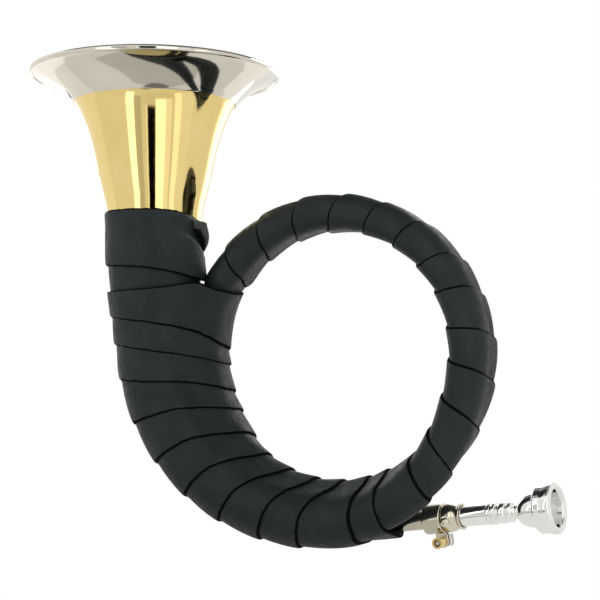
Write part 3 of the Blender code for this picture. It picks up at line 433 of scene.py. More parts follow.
def turned(profile, segments, sweep=None):
    """A closed outline turned round local Z, as points and faces. A sweep in degrees leaves a gap."""
    rows = [(max(r, 0.0), z) for r, z in profile]
    first, last = sweep or (0.0, 360.0)
    turns = np.radians(np.linspace(first, last, segments + 1))
    if not sweep:
        turns = turns[:-1]
    points = [(r * math.cos(turn), r * math.sin(turn), z) for turn in turns for r, z in rows]
    n = len(rows)
    faces = []
    for i in range(segments):
        a, b = i * n, ((i + 1) % len(turns)) * n
        for j in range(n):
            k = (j + 1) % n
            if rows[j][0] > 0.0 or rows[k][0] > 0.0:
                faces.append((a + j, b + j, b + k, a + k))
    if sweep:
        end = segments * n
        faces += [tuple(range(n)), tuple(reversed(range(end, end + n)))]
    return points, faces


def slab(outline, low, high, edge):
    """An outline in the YZ plane drawn out along X, with its rim eased at both ends, as points and faces."""
    count = len(outline)
    centre = Vector((sum(p[0] for p in outline) / count, sum(p[1] for p in outline) / count))
    layers = [(low, 1.0), (low + edge, 0.0), (high - edge, 0.0), (high, 1.0)]
    points, faces = [], []
    for at, shrink in layers:
        for p in outline:
            q = Vector(p)
            q -= (q - centre).normalized() * edge * 0.7 * shrink
            points.append((at, q.x, q.y))
    for i in range(len(layers) - 1):
        for j in range(count):
            k = (j + 1) % count
            faces.append((i * count + j, i * count + k, (i + 1) * count + k, (i + 1) * count + j))
    top = (len(layers) - 1) * count
    faces += [tuple(reversed(range(count))), tuple(range(top, top + count))]
    return points, faces


def merged(parts):
    """The points and faces of several closed shapes together."""
    points, faces = [], []
    for part_points, part_faces in parts:
        base = len(points)
        points += part_points
        faces += [tuple(base + i for i in face) for face in part_faces]
    return points, faces


# Materials


def nodes_of(name):
    material = bpy.data.materials.new(name)
    material.use_nodes = True
    tree = material.node_tree
    return material, tree, tree.nodes["Principled BSDF"]


def noise_node(tree, scale, detail=4.0, rough=0.55, stretch=None):
    """Noise in the object's own metres."""
    texture = tree.nodes.new("ShaderNodeTexNoise")
    texture.inputs["Scale"].default_value = scale
    texture.inputs["Detail"].default_value = detail
    texture.inputs["Roughness"].default_value = rough
    coords = tree.nodes.new("ShaderNodeTexCoord")
    source = coords.outputs["Object"]
    if stretch:
        mapping = tree.nodes.new("ShaderNodeMapping")
        mapping.inputs["Scale"].default_value = stretch
        tree.links.new(source, mapping.inputs["Vector"])
        source = mapping.outputs["Vector"]
    tree.links.new(source, texture.inputs["Vector"])
    return texture


def ramp(tree, source, stops):
    node = tree.nodes.new("ShaderNodeValToRGB")
    elements = node.color_ramp.elements
    for element, (at, colour) in zip(elements, stops):
        element.position = at
        element.color = (*colour, 1.0)
    tree.links.new(source, node.inputs["Fac"])
    return node.outputs["Color"]


def spread(tree, source, low, high):
    """The source's 0.3 to 0.7 mapped to low to high."""
    node = tree.nodes.new("ShaderNodeMapRange")
    node.inputs["From Min"].default_value = 0.3
    node.inputs["From Max"].default_value = 0.7
    node.inputs["To Min"].default_value = low
    node.inputs["To Max"].default_value = high
    tree.links.new(source, node.inputs["Value"])
    return node.outputs["Result"]


def bump(tree, shader, layers):
    """Bumps one after another: (height, strength, distance in metres)."""
    normal = None
    for height, strength, distance in layers:
        node = tree.nodes.new("ShaderNodeBump")
        node.inputs["Strength"].default_value = strength
        node.inputs["Distance"].default_value = distance
        tree.links.new(height, node.inputs["Height"])
        if normal is not None:
            tree.links.new(normal, node.inputs["Normal"])
        normal = node.outputs["Normal"]
    tree.links.new(normal, shader.inputs["Normal"])


def metal(name, dark, light, rough_low, rough_high):
    """Polished metal with faint clouding, fine wiping marks and a slight ripple of the sheet."""
    material, tree, shader = nodes_of(name)
    cloud = noise_node(tree, 45.0, 3.0)
    tree.links.new(ramp(tree, cloud.outputs["Fac"], [(0.3, dark), (0.7, light)]), shader.inputs["Base Color"])
    wipe = noise_node(tree, 900.0, 6.0, 0.7, (1.0, 1.0, 0.15))
    tree.links.new(spread(tree, wipe.outputs["Fac"], rough_low, rough_high), shader.inputs["Roughness"])
    shader.inputs["Metallic"].default_value = 1.0
    sheet = noise_node(tree, 60.0, 2.0)
    bump(tree, shader, [(sheet.outputs["Fac"], 0.02, 0.001), (wipe.outputs["Fac"], 0.02, 0.0001)])
    return material


def leather(name, base_low, base_high, rough_low, rough_high, grain, shine):
    """Dark dyed leather: cloudy dye, fine pebbled grain and soft creases."""
    material, tree, shader = nodes_of(name)
    dye = noise_node(tree, 70.0, 5.0)
    colour = ramp(tree, dye.outputs["Fac"], [(0.25, base_low), (0.75, base_high)])
    tree.links.new(colour, shader.inputs["Base Color"])
    pores = tree.nodes.new("ShaderNodeTexVoronoi")
    pores.inputs["Scale"].default_value = 1500.0
    coords = tree.nodes.new("ShaderNodeTexCoord")
    tree.links.new(coords.outputs["Object"], pores.inputs["Vector"])
    crease = noise_node(tree, 320.0, 6.0, 0.62)
    waves = noise_node(tree, 55.0, 2.0)
    tree.links.new(spread(tree, crease.outputs["Fac"], rough_low, rough_high), shader.inputs["Roughness"])
    shader.inputs["Specular IOR Level"].default_value = shine
    layers = [(waves.outputs["Fac"], 0.55, 0.0022), (crease.outputs["Fac"], grain, 0.0003)]
    layers.append((pores.outputs["Distance"], grain * 0.6, 0.00012))
    bump(tree, shader, layers)
    return material


BRASS = metal("polished_brass", (0.80, 0.62, 0.25), (0.86, 0.68, 0.30), 0.05, 0.09)
NICKEL = metal("nickel_silver", (0.63, 0.60, 0.53), (0.70, 0.67, 0.60), 0.05, 0.10)
TURNED_NICKEL = metal("turned_nickel_silver", (0.60, 0.56, 0.47), (0.70, 0.66, 0.57), 0.14, 0.22)
SILVER = metal("silver_plate", (0.82, 0.82, 0.82), (0.88, 0.88, 0.88), 0.05, 0.08)
BARREL_BRASS = metal("turned_brass", (0.70, 0.52, 0.22), (0.80, 0.62, 0.28), 0.10, 0.20)
STEEL = metal("screw_steel", (0.50, 0.49, 0.50), (0.60, 0.59, 0.60), 0.28, 0.38)
HIDE = leather("leather", (0.0040, 0.0100, 0.0120), (0.0160, 0.0225, 0.0248), 0.42, 0.66, 0.70, 0.26)
# The near-black, almost shineless cut edge: the leather's dyed edge, and painted shade for the dark gaps
# under raised edges and under the folded end
HIDE_EDGE_AND_SHADE = leather("leather_cut_edge_and_painted_shade", (0.002, 0.002, 0.0022), (0.004, 0.004, 0.0042), 0.75, 0.90, 0.5, 0.04)
HIDE_BACK = leather("leather_flesh_side", (0.030, 0.033, 0.035), (0.062, 0.066, 0.070), 0.80, 0.95, 0.9, 0.10)
# Places of the three leather materials on a piece; the second is the near-black edge that carries painted
# shade
FACE, EDGE_AND_SHADE, BACK = 0, 1, 2


# Leather winding


def station_height(station):
    return (station - LIMB_STATION) * math.radians(BELL_AXIS_X)


def bundle(station, with_pipe):
    """The tubes inside the leather at a station, as distance out, depth and radius."""
    if station <= LIMB_STATION:
        angles = [station - 360.0] if with_pipe else []
        angles += [station, station + 360.0]
        return [(coil_radial(a), coil_depth(a), tube_radius(a)) for a in angles]
    z = station_height(station)
    out = math.sqrt(COIL_RADIUS**2 - z * z)
    slant = COIL_RADIUS / out
    lift = math.degrees(math.asin(z / COIL_RADIUS))
    angles = (LIMB_STATION - 360.0, LIMB_STATION)
    tubes = [(out, coil_depth(a + lift), TUBE_RADIUS * slant) for a in angles]
    return [*tubes, (stem_axis(z), -BELL_DEPTH, stem_radius(z))]


def hull_outline(station, with_pipe):
    """Points and outward normals on a sheet drawn tight round the tubes, in the section's plane.

    They start on the outer side and pass the back, the inner side (half way) and the front. They are
    closer together where the sheet bends.
    """
    tubes = np.array(bundle(station, with_pipe))
    middle = tubes[-2:, :2].mean(axis=0)
    turns = np.radians(np.arange(0.0, 361.0, 1.5))
    rays = np.stack([np.cos(turns), np.sin(turns)], axis=1)
    reach = ((tubes[:, :2] - middle) @ rays.T + tubes[:, 2:]).max(axis=0)
    facing = rays @ rays.T
    grazing, far_off, bend_weight = 0.05, 1e3, 8.0
    lengths = np.where(facing > grazing, reach / np.maximum(facing, grazing), far_off).min(axis=1)
    for _ in range(CORNER_EASING):
        before, after = np.roll(lengths[:-1], 1), np.roll(lengths[:-1], -1)
        lengths[:-1] = 0.25 * before + 0.5 * lengths[:-1] + 0.25 * after
    lengths[-1] = lengths[0]
    outline = middle + rays * lengths[:, None]
    steps = np.diff(outline, axis=0)
    heading = np.unwrap(np.arctan2(steps[:, 1], steps[:, 0]))
    bends = np.abs(np.diff(heading, append=heading[0] + 2.0 * math.pi))
    way = np.concatenate([[0.0], np.cumsum(np.hypot(*steps.T) + bend_weight * bends)])
    half = len(turns) // 2
    shares = np.arange(HULL_POINTS) / HULL_POINTS
    at = np.where(
        shares <= 0.5,
        way[half] * shares * 2.0,
        way[half] + (way[-1] - way[half]) * (shares * 2.0 - 1.0),
    )
    points = np.stack([np.interp(at, way, outline[:, 0]), np.interp(at, way, outline[:, 1])], axis=1)
    tangent = np.roll(points, -1, axis=0) - np.roll(points, 1, axis=0)
    normals = np.stack([tangent[:, 1], -tangent[:, 0]], axis=1)
    normals /= np.linalg.norm(normals, axis=1)[:, None]
    return np.concatenate([points, normals], axis=1)


GRID = {
    with_pipe: np.array([hull_outline(s, with_pipe) for s in np.arange(FIRST_STATION, LAST_STATION + 1.0)])
    for with_pipe in (False, True)
}


def on_hull(station, with_pipe, share, offset):
    """A point at an offset from the sheet, at a share of the way round and a station along it."""
    rows = GRID[with_pipe]
    s = min(max(station, FIRST_STATION), LAST_STATION - 1e-3) - FIRST_STATION
    i, fs = int(s), s - int(s)
    h = (share % 1.0) * HULL_POINTS
    j, fh = int(h) % HULL_POINTS, h - int(h)
    k = (j + 1) % HULL_POINTS
    near = rows[i, j] * (1 - fh) + rows[i, k] * fh
    far = rows[i + 1, j] * (1 - fh) + rows[i + 1, k] * fh
    out, depth, nx, ny = near * (1 - fs) + far * fs
    size = math.hypot(nx, ny)
    out, depth = out + offset * nx / size, depth + offset * ny / size
    if station > LIMB_STATION:
        return Vector((-out, depth, station_height(station)))
    turn = math.radians(station)
    return Vector((-out * math.sin(turn), depth, -out * math.cos(turn)))


def edge_knots():
    """The raised edge's station at counts of turns, from where each turn crosses the sides and the front."""
    knots = []
    for turn_index, (outer_edge, inner_edge) in enumerate(zip(OUTER_EDGES, INNER_EDGES)):
        inner_count = turn_index - (INNER_SEEN + INNER_SEEN_MOVES * math.sin(math.radians(inner_edge)))
        outer_count = turn_index - (OUTER_SEEN + OUTER_SEEN_MOVES * math.sin(math.radians(outer_edge)))
        front = through(outer_edge, FRONT_SHARES) * (outer_edge - inner_edge)
        knots += [
            (inner_count - FRONT_STEP, inner_edge - FRONT_BEFORE * front),
            (inner_count, inner_edge),
            (inner_count + FRONT_STEP, inner_edge + FRONT_MIDDLE * front),
            (inner_count + 2.0 * FRONT_STEP, inner_edge + front),
            (outer_count, outer_edge),
        ]
    return knots


EDGE_KNOTS = edge_knots()


def edge_station(count):
    return through(count, EDGE_KNOTS)


def start_station(share):
    """Station at which the ring's outer leather stands at TUCK_Z, near its start."""
    station, rise_per_degree = 115.0, 1.15
    for _ in range(4):
        station += (TUCK_Z - on_hull(station, False, share, FACE_OFFSET).z) / rise_per_degree
    return station


def out_of_tuck(z):
    return smooth((z - TUCK_Z - TUCK_THIN) / TUCK_RISE)


def strip_lift(true, station, z, top_z):
    """Height of the strip's underside over the hull, at a true share of its width."""
    lift = WRAP_BASE + FALL * (1.0 - true)
    if station < TUCKED_BEFORE_STATION:
        lift *= TUCKED_LIFT + (1.0 - TUCKED_LIFT) * out_of_tuck(z)
    if station > LIMB_STATION:
        lift += LIMB_FLARE * smooth((z - top_z + LIMB_FLARE_HEIGHT) / LIMB_FLARE_HEIGHT)
    return lift


def strip_thickness(true, station, z, rise):
    """The leather's thickness with its crown, at a true share of its width and a rise from its cut edge."""
    crown = CROWN * math.sin(math.pi * min(max(true, 0.0), 1.0) ** 0.6)
    thick = (LEATHER + crown) * rise
    if station < TUCKED_BEFORE_STATION:
        thick *= TUCKED_THICKNESS + (1.0 - TUCKED_THICKNESS) * out_of_tuck(z)
    return thick


ACROSS_STRIP = [0.0, 0.018, 0.046, 0.070, 0.12, 0.18, 0.30, 0.46, 0.62, 0.78, 0.92, 0.965, 1.0]
EDGE_RISE = [0.25, 0.62, 0.90]
UNDER_STRIP = [1.0, 0.55, 0.12, 0.0]


def strip_row(count):
    """One row across the strip at a count of turns, over its outside and back under it."""
    share = count % 1.0
    with_pipe = count >= PIPE_WRAPPED_FROM_TURN
    edge = edge_station(count)
    width = (edge_station(count + 1.0) - edge) / (1.0 - OVERLAP)
    for pace, depth in EDGE_WAVES:
        edge += depth * noise.noise(Vector((count * pace, 0.7 + depth, 0.0)))
    top = through(share, LIMB_TOP)
    low, high = edge, min(edge + width, LIMB_STATION + top / math.radians(BELL_AXIS_X))
    if edge < TUCKED_EDGES_BEFORE:
        low = max(edge, start_station(share))
        high = max(high, low + LEAST_WIDTH)
    low = min(low, high - LEAST_WIDTH)
    row = []
    for i, s in enumerate(ACROSS_STRIP + UNDER_STRIP):
        station = low + (high - low) * s
        true = (station - edge) / width
        z = on_hull(station, with_pipe, share, FACE_OFFSET).z
        offset = strip_lift(true, station, z, top)
        if i < len(ACROSS_STRIP):
            rise = EDGE_RISE[i] if i < len(EDGE_RISE) else 1.0
            offset += strip_thickness(true, station, z, rise)
        row.append(on_hull(station, with_pipe, share, offset))
    return row


def build_winding():
    """The leather strip: one mesh, turn over turn, each with its raised cut edge painted near-black: dyed
    edge, and painted shade of the gap under it.
    """
    whole_turns = len(OUTER_EDGES) - 2
    last_step = round((whole_turns + STRIP_TAIL) * TURN_POINTS)
    rows = [strip_row(step / TURN_POINTS) for step in range(last_step + 1)]
    n = len(rows[0])
    vertices = [point for row in rows for point in row]
    faces, paint = [], []
    for i in range(len(rows) - 1):
        a, b = i * n, (i + 1) * n
        for j in range(n):
            k = (j + 1) % n
            faces.append((a + j, a + k, b + k, b + j))
            # On the last turn the face along the strip's far edge, where it ends on the limb, is near-black:
            # painted shade along the limb's top
            top_shade_line = j == len(ACROSS_STRIP) - 2 and i > (whole_turns - 1) * TURN_POINTS
            # The raised cut edge and the faces beside it are near-black: dyed edge, and painted shade of the
            # gap under it
            if j in (0, 1, n - 1) or top_shade_line:
                paint.append(EDGE_AND_SHADE)
            else:
                paint.append(BACK if j >= len(ACROSS_STRIP) - 1 else FACE)
    faces.append(tuple(reversed(range(n))))
    faces.append(tuple(range((len(rows) - 1) * n, len(rows) * n)))
    paint += [EDGE_AND_SHADE, EDGE_AND_SHADE]
    piece("wound_leather", vertices, faces, [HIDE, HIDE_EDGE_AND_SHADE, HIDE_BACK], "horn", "leather_strip",
          ("leather_winding",), Matrix.Identity(4), 50.0, paint)


def ragged_edge(turn):
    """The torn edge's ups and downs, by the angle round the stem."""
    tear = noise.noise(Vector((math.cos(turn) * 9.0, math.sin(turn) * 9.0, 3.0)))
    return tear + 1.2 * noise.noise(Vector((math.cos(turn) * 31.0, math.sin(turn) * 31.0, 9.0)))


def band_row(turn, bottom, top, lift, across):
    """One row up a band of leather round the stem, over its outside and back down under it."""
    row = []
    for s in across:
        z = bottom + (top - bottom) * s
        edge = min(1.0, s / BAND_EDGE_SHARE, (1.0 - s) / BAND_EDGE_SHARE)
        swell = BAND_SWELL * math.sin(math.pi * s)
        ripple = BAND_RIPPLE * noise.noise(Vector((math.cos(turn) * 2.0, math.sin(turn) * 2.0, z * 0.05)))
        r = stem_radius(z) + lift(turn, s, z) + LEATHER * (0.35 + 0.65 * edge) + swell + ripple * edge
        row.append((r * math.cos(turn), r * math.sin(turn), z))
    for s in (1.0, 0.5, 0.0):
        z = bottom + (top - bottom) * s
        r = stem_radius(z) + min(lift(turn, s, z), lift(turn, s, ABOVE_FOLD))
        row.append((r * math.cos(turn), r * math.sin(turn), z))
    return row


def collar_band(name, low, high, lift, replaces=(), ragged=0.0):
    """A band of leather round the stem between two edges, each a function of the angle."""
    across = [0.0, 0.025, *np.linspace(0.06, 0.94, 23), 0.975, 1.0]
    rows = []
    for i in range(BAND_SEGMENTS):
        turn = 2.0 * math.pi * i / BAND_SEGMENTS
        top = high(turn) + (ragged * ragged_edge(turn) if ragged else 0.0)
        rows.append(band_row(turn, low(turn), top, lift, across))
    n = len(rows[0])
    vertices = [point for row in rows for point in row]
    faces, paint = [], []
    for i in range(BAND_SEGMENTS):
        a, b = i * n, ((i + 1) % BAND_SEGMENTS) * n
        for j in range(n):
            k = (j + 1) % n
            faces.append((a + j, b + j, b + k, a + k))
            # The band's top and bottom cut edges, with a thin strip of face along each, are near-black: dyed
            # edge, and painted shade along them
            paint.append(EDGE_AND_SHADE if j in (0, n - 1, len(across) - 2, len(across) - 1) else FACE)
    piece(name, vertices, faces, [HIDE, HIDE_EDGE_AND_SHADE], "horn", "leather_strip", replaces, BELL, 40.0, paint)


def ring_side(turn):
    """How far a place on the stem faces the ring, from 0 to 1."""
    return (0.5 + 0.5 * math.cos(turn - math.radians(RING_SIDE_DEG))) ** 3


def collar_foot(turn):
    """Height of the upper band's lower edge, which drops to the notch and on the ring's side."""
    at_notch = max(0.0, math.cos(turn - math.radians(NOTCH_DEG)))
    return COLLAR_FOOT_Z - FOOT_DROP_AT_NOTCH * at_notch - FOOT_DROP_AT_RING * ring_side(turn)


def collar_top(turn):
    """Height of the upper band's upper edge, which dips on the ring's side."""
    return COLLAR_TOP_Z - TOP_DROP_AT_RING * ring_side(turn) ** 2.2


def collar_lift(turn, s, z):
    """The upper band's inner face over the stem: it stands off at the notch and is thicker under its fold."""
    turn_deg = (math.degrees(turn) + 180.0) % 360.0 - 180.0
    under_fold = smooth((through(turn_deg, FOLD_KNOTS) - z) / 3.0)
    off_stem = 0.35 + 1.1 * max(0.0, 1.0 - s * 1.6) + 1.8 * ring_side(turn) * max(0.0, 1.0 - s * 3.0)
    return off_stem + FOLD_STEP * under_fold * (1.0 - 0.8 * smooth((abs(turn_deg) - 100.0) / 60.0))


def build_collar():
    """The two turns of leather round the stem, over the limb's end."""
    collar_band("leather_under_band", lambda turn: UNDER_BAND_LOW, lambda turn: UNDER_BAND_HIGH,
                lambda turn, s, z: 0.10)
    collar_band("leather_collar_band", collar_foot, collar_top, collar_lift, ("leather_collar",),
                COLLAR_RAGGED)


def folded_end_row(t, columns):
    """One row across the folded end at a share of its length, over its outside and back under it."""
    z = FOLDED_END_TOP - FOLDED_END_LENGTH * t
    first = math.radians(through(t, FOLDED_END_FIRST))
    last = math.radians(through(t, FOLDED_END_LAST))
    stand = 0.10 + 1.9 * math.sin(math.pi * min(1.0, 0.95 * t)) ** 1.2
    points = []
    for side, order in ((1.0, range(columns + 1)), (0.0, range(columns, -1, -1))):
        for k in order:
            across = k / columns
            turn = first + (last - first) * across
            bulge = stand * math.sin(math.pi * (0.15 + 0.70 * across))
            tear = 0.10 * noise.noise(Vector((t * 14.0, across * 9.0, side)))
            r = stem_radius(z) + LEATHER + 0.55 + bulge + FOLDED_END_THICKNESS * side + tear
            points.append((r * math.cos(turn), r * math.sin(turn), z + 0.35 * tear))
    return points


def build_folded_end():
    """The strip's end, which sticks out from under the fold on the ring's side."""
    rows, columns = 28, 12
    points = [point for i in range(rows + 1) for point in folded_end_row(i / rows, columns)]
    faces, paint = [], []
    n = 2 * (columns + 1)
    for i in range(rows):
        for j in range(n):
            k = (j + 1) % n
            faces.append((i * n + j, i * n + k, (i + 1) * n + k, (i + 1) * n + j))
            # Past a quarter of its length, the tongue's first side and a strip of face along it are
            # near-black: painted shadow under the tongue, on its dyed edge
            paint.append(EDGE_AND_SHADE if j in (0, 1, n - 1) and i > 0.25 * rows else FACE)
    faces += [tuple(reversed(range(n))), tuple(range(rows * n, rows * n + n))]
    paint += [FACE, EDGE_AND_SHADE]
    piece("leather_folded_end", points, faces, [HIDE_BACK, HIDE_EDGE_AND_SHADE], "horn", "leather_strip",
          ("leather_end",), BELL, 50.0, paint)


# Bell and garland


def smooth_line(points, count, passes=40):
    """Even points along a line, with its bends eased."""
    points = np.array(points, dtype=float)
    way = np.concatenate([[0.0], np.cumsum(np.hypot(*np.diff(points, axis=0).T))])
    at = np.linspace(0.0, way[-1], count)
    line = np.stack([np.interp(at, way, points[:, 0]), np.interp(at, way, points[:, 1])], axis=1)
    for _ in range(passes):
        line[1:-1] = 0.25 * line[:-2] + 0.5 * line[1:-1] + 0.25 * line[2:]
    return line


def offset_line(line, distance):
    """The line moved sideways, to its right as it runs."""
    run = np.gradient(line, axis=0)
    run /= np.linalg.norm(run, axis=1)[:, None]
    return line + np.stack([run[:, 1], -run[:, 0]], axis=1) * distance


def flare_line():
    """Radius and height of the flare's outer face, from the joint to the rim."""
    stem = [(stem_radius(z), z) for z in np.linspace(BELL_JOINT_Z + JOINT_GAP / 2, SEAM_Z - 1.0, 60)]
    flare = [(through(z, FLARE_KNOTS), z) for z in np.linspace(SEAM_Z, FLARE_KNOTS[-1][0], 60)]
    return smooth_line(stem + flare, 160)


def build_bell_shell(line):
    inner = offset_line(line, -BELL_WALL)
    inner[0, 1] = line[0, 1]
    piece("bell_shell", *turned([*line[::-1], *inner], 192), [BRASS], "horn", "bell_brass", ("bell_flare",),
          BELL, 50.0)


def build_garland(line):
    """The plain band over the flare's edge, with its rolled bead."""
    cover = line[line[:, 1] > SEAM_Z - 0.4]
    under = offset_line(cover, GARLAND_GAP)
    outer = offset_line(cover, GARLAND_GAP + GARLAND_LIFT)
    bead_r = RIM_RADIUS - BEAD_RADIUS
    roll = []
    for turn in np.linspace(-100.0, 172.0, 19):
        angle = math.radians(turn)
        roll.append((bead_r + BEAD_RADIUS * math.cos(angle), RIM_Z + BEAD_RADIUS * math.sin(angle)))
    foot = [tuple(under[0]), (under[0][0], under[0][1] - 0.05), (outer[0][0] - 0.12, outer[0][1] - 0.10)]
    profile = [*foot, *(tuple(p) for p in outer if p[0] < bead_r - 0.4), *roll]
    profile += [tuple(p) for p in under[::-1] if p[0] < bead_r - BEAD_RADIUS]
    piece("garland_sheet", *turned(profile, 192), [NICKEL], "horn", "garland_plate", ("bell_garland",),
          BELL, 50.0)


# Mouthpipe, clamp and mouthpiece


def ring(outer, inner, low, high, edge):
    """The outline of a tube or washer, with its outer corners eased."""
    return rounded([(outer, high), (outer, low), (inner, low, 0.05), (inner, high, 0.05)], edge)


def build_mouthpipe():
    tube = ring(PIPE_RADIUS, PIPE_RADIUS - PIPE_WALL, -CLAMP_FROM_BEND + 0.3, RING_TO - 0.3, 0.15)
    piece("mouthpipe_tube", *turned(tube, 96), [TURNED_NICKEL], "horn", "nickel_silver",
          ("mouthpipe_sleeve",), PIPE)


def clamp_ear(side):
    """One ear of the split collar, on the front (1) or the back (-1) of its slot."""
    outline = [(CLAMP_RADIUS - 0.9, SCREW_ALONG - EAR_RADIUS), (CLAMP_RADIUS - 0.9, SCREW_ALONG + 2.2),
               (CLAMP_RADIUS + 0.8, SCREW_ALONG + 2.9)]
    for turn in range(90, -91, -15):
        angle = math.radians(turn)
        drop = SCREW_DROP + EAR_RADIUS * math.cos(angle)
        outline.append((drop, SCREW_ALONG + EAR_RADIUS * math.sin(angle)))
    low, high = sorted((side * CLAMP_SLOT_HALF, side * (CLAMP_SLOT_HALF + EAR_THICKNESS)))
    return slab(outline, low, high, 0.25)


def build_clamp_collar():
    slot_half = math.degrees(CLAMP_SLOT_HALF / CLAMP_RADIUS)
    band = ring(CLAMP_RADIUS, CLAMP_BORE, RING_FROM, RING_TO, 0.7)
    collar = turned(band, 120, (90.0 + slot_half, 450.0 - slot_half))
    piece("clamp_ring", *merged([collar, clamp_ear(-1.0), clamp_ear(1.0)]), [TURNED_NICKEL], "horn",
          "nickel_silver", ("clamp_collar",), PIPE)


def build_clamp_barrel():
    barrel = [(1.75, 2.3), (2.55, 2.3), (2.55, 3.2), (2.2, 3.5), (2.2, 3.9), (2.5, 4.2), (2.5, 7.2),
              (2.8, 7.4), (2.8, 8.15), (1.75, 8.15)]
    piece("clamp_barrel_nut", *turned(rounded(barrel, 0.22)[::-1], 64), [BARREL_BRASS], "horn", "bell_brass",
          ("clamp_barrel",), SCREW)


def build_clamp_washer():
    piece("clamp_screw_washer", *turned(ring(3.0, 1.65, -3.1, -2.3, 0.3), 64), [SILVER], "washer",
          "silver_plate", ("clamp_washer",), SCREW)


def build_thumb_screw():
    """The threaded shaft with its collar, and the flat wing at its head."""
    shaft = [(0.0, 7.8), (0.9, 7.8)]
    for i in range(SCREW_THREADS):
        z = 7.4 - SCREW_PITCH * i
        shaft += [(1.28, z), (1.28, z - 0.12), (1.05, z - 0.25), (1.05, z - 0.32)]
    shaft += [(1.25, -3.4), (2.1, -3.4), (2.1, -5.3), (1.8, -5.6), (0.0, -5.6)]
    wing = [(-3.1, -10.6, 2.0), (-3.1, -6.4, 1.4), (-1.5, -4.9, 0.6), (1.5, -4.9, 0.6), (3.1, -6.4, 1.4),
            (3.1, -10.6, 2.0)]
    plate = slab(rounded(wing, 1.0, 6), -WING_HALF, WING_HALF, 0.3)
    piece("clamp_thumb_screw", *merged([turned(shaft, 40), plate]), [STEEL], "screw", "screw_steel",
          ("clamp_screw",), SCREW)


def build_receiver():
    start, end = RECEIVER_START, RECEIVER_END
    profile = [(4.3, start), (6.7, start, 0.5), (7.15, start + 0.9, 0.5), (7.25, start + 3.2, 1.5),
               (6.9, start + 5.0, 1.5), (6.1, start + 6.8, 1.2), (5.85, start + 8.0, 0.8),
               (6.35, end - 0.9, 0.4), (6.5, end, 0.2), (5.35, end, 0.1), (5.1, start + 0.8, 0.1),
               (4.3, start + 0.8, 0.1)]
    piece("receiver_socket", *turned(rounded(profile, 0.3)[::-1], 120), [TURNED_NICKEL], "slide",
          "nickel_silver", ("receiver",), PIPE)


def build_inner_slide():
    tube = ring(4.0, 3.5, INNER_SLIDE_START, RECEIVER_START + 0.6, 0.12)
    piece("inner_slide_tube", *turned(tube, 72), [TURNED_NICKEL], "slide", "nickel_silver", ("tuning_slide",),
          PIPE)


def build_pin_head():
    """The round head of the pin that stands on the receiver, a little below its front."""
    tilt = math.radians(PIN_HEAD_TILT_DEG)
    outward = Vector((math.cos(tilt), math.sin(tilt), 0.0)).to_track_quat("Z", "Y").to_matrix().to_4x4()
    head = [(0.0, 9.0), (0.9, 8.95), (1.7, 8.65), (2.3, 8.15), (2.6, 7.6), (2.6, 7.25), (1.3, 7.2),
            (1.3, 6.5), (0.0, 6.5)]
    place = PIPE @ Matrix.Translation((0.0, 0.0, RECEIVER_START + PIN_HEAD_ALONG)) @ outward
    piece("receiver_pin_head", *turned(head, 48), [TURNED_NICKEL], "slide", "nickel_silver",
          ("receiver_screw",), place)


def build_mouthpiece():
    """The shank, its turned rings, the cup and the rim, then the cup's inside back to the shank's bore."""
    tip = RECEIVER_END - SHANK_IN_RECEIVER
    outer = [(4.72, tip, 0.15), (4.98, RECEIVER_END + 0.6, 0.0), (5.08, 31.3, 0.1), (4.5, 31.6, 0.1),
             (4.5, 31.9, 0.1), (5.3, 32.1, 0.2), (5.3, 33.5, 0.25), (4.3, 33.9, 0.2), (4.3, 34.3, 0.2),
             (5.35, 34.7, 0.25), (5.35, 35.9, 0.3), (4.2, 36.5, 0.4), (4.25, 37.2, 0.3), (5.1, 38.0, 0.7),
             (5.3, 39.4, 1.0), (5.1, 40.8, 0.7), (4.0, 41.6, 0.3), (4.0, 41.9, 0.3), (5.0, 42.5, 0.4),
             (5.0, 44.0, 0.5), (3.6, 45.2, 0.5), (3.1, 45.9, 0.5), (3.8, 46.8, 0.6), (6.0, 48.4, 1.6),
             (7.7, 51.2, 2.2), (8.4, 54.6, 1.5), (8.5, 57.1, 0.15), (10.5, 57.2, 0.3), (11.5, 58.1, 0.8),
             (11.55, 61.2, 0.5), (11.8, 62.2, 0.7), (12.3, 64.4, 1.0), (12.35, 66.2, 1.1), (11.1, 67.3, 1.2),
             (9.5, 67.1, 0.9)]
    inner = [(8.7, 65.8, 1.0), (8.5, 63.1, 1.5), (7.6, 58.0, 2.5), (5.4, 52.6, 2.5), (2.4, 49.0, 1.2),
             (1.9, 47.4, 0.8), (1.9, 46.0, 0.5), (3.4, tip, 0.1)]
    piece("mouthpiece_turned", *turned(rounded(outer + inner, 0.3, 5)[::-1], 144), [SILVER], "mouthpiece",
          "silver_plate", ("mouthpiece",), PIPE, 60.0)


def dress_frame():
    """Materials for the CAD pieces that stay as they are."""
    looks = {"first_coil": BRASS, "second_coil": BRASS, "bell_bow": BRASS, "rim_wire": STEEL}
    for name in ("first_ferrule", "second_ferrule", "bell_ferrule", "stay_left", "stay_top", "stay_right"):
        looks[name] = BARREL_BRASS
    for name, material in looks.items():
        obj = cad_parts[name]
        for slot in obj.material_slots:
            slot.material = material


# Camera and stage


def emitter(name, strength, colour=WHITE):
    material = bpy.data.materials.new(name)
    material.use_nodes = True
    tree = material.node_tree
    tree.nodes.clear()
    glow = tree.nodes.new("ShaderNodeEmission")
    glow.inputs["Color"].default_value = (*colour, 1.0)
    glow.inputs["Strength"].default_value = strength
    out = tree.nodes.new("ShaderNodeOutputMaterial")
    tree.links.new(glow.outputs["Emission"], out.inputs["Surface"])
    return material


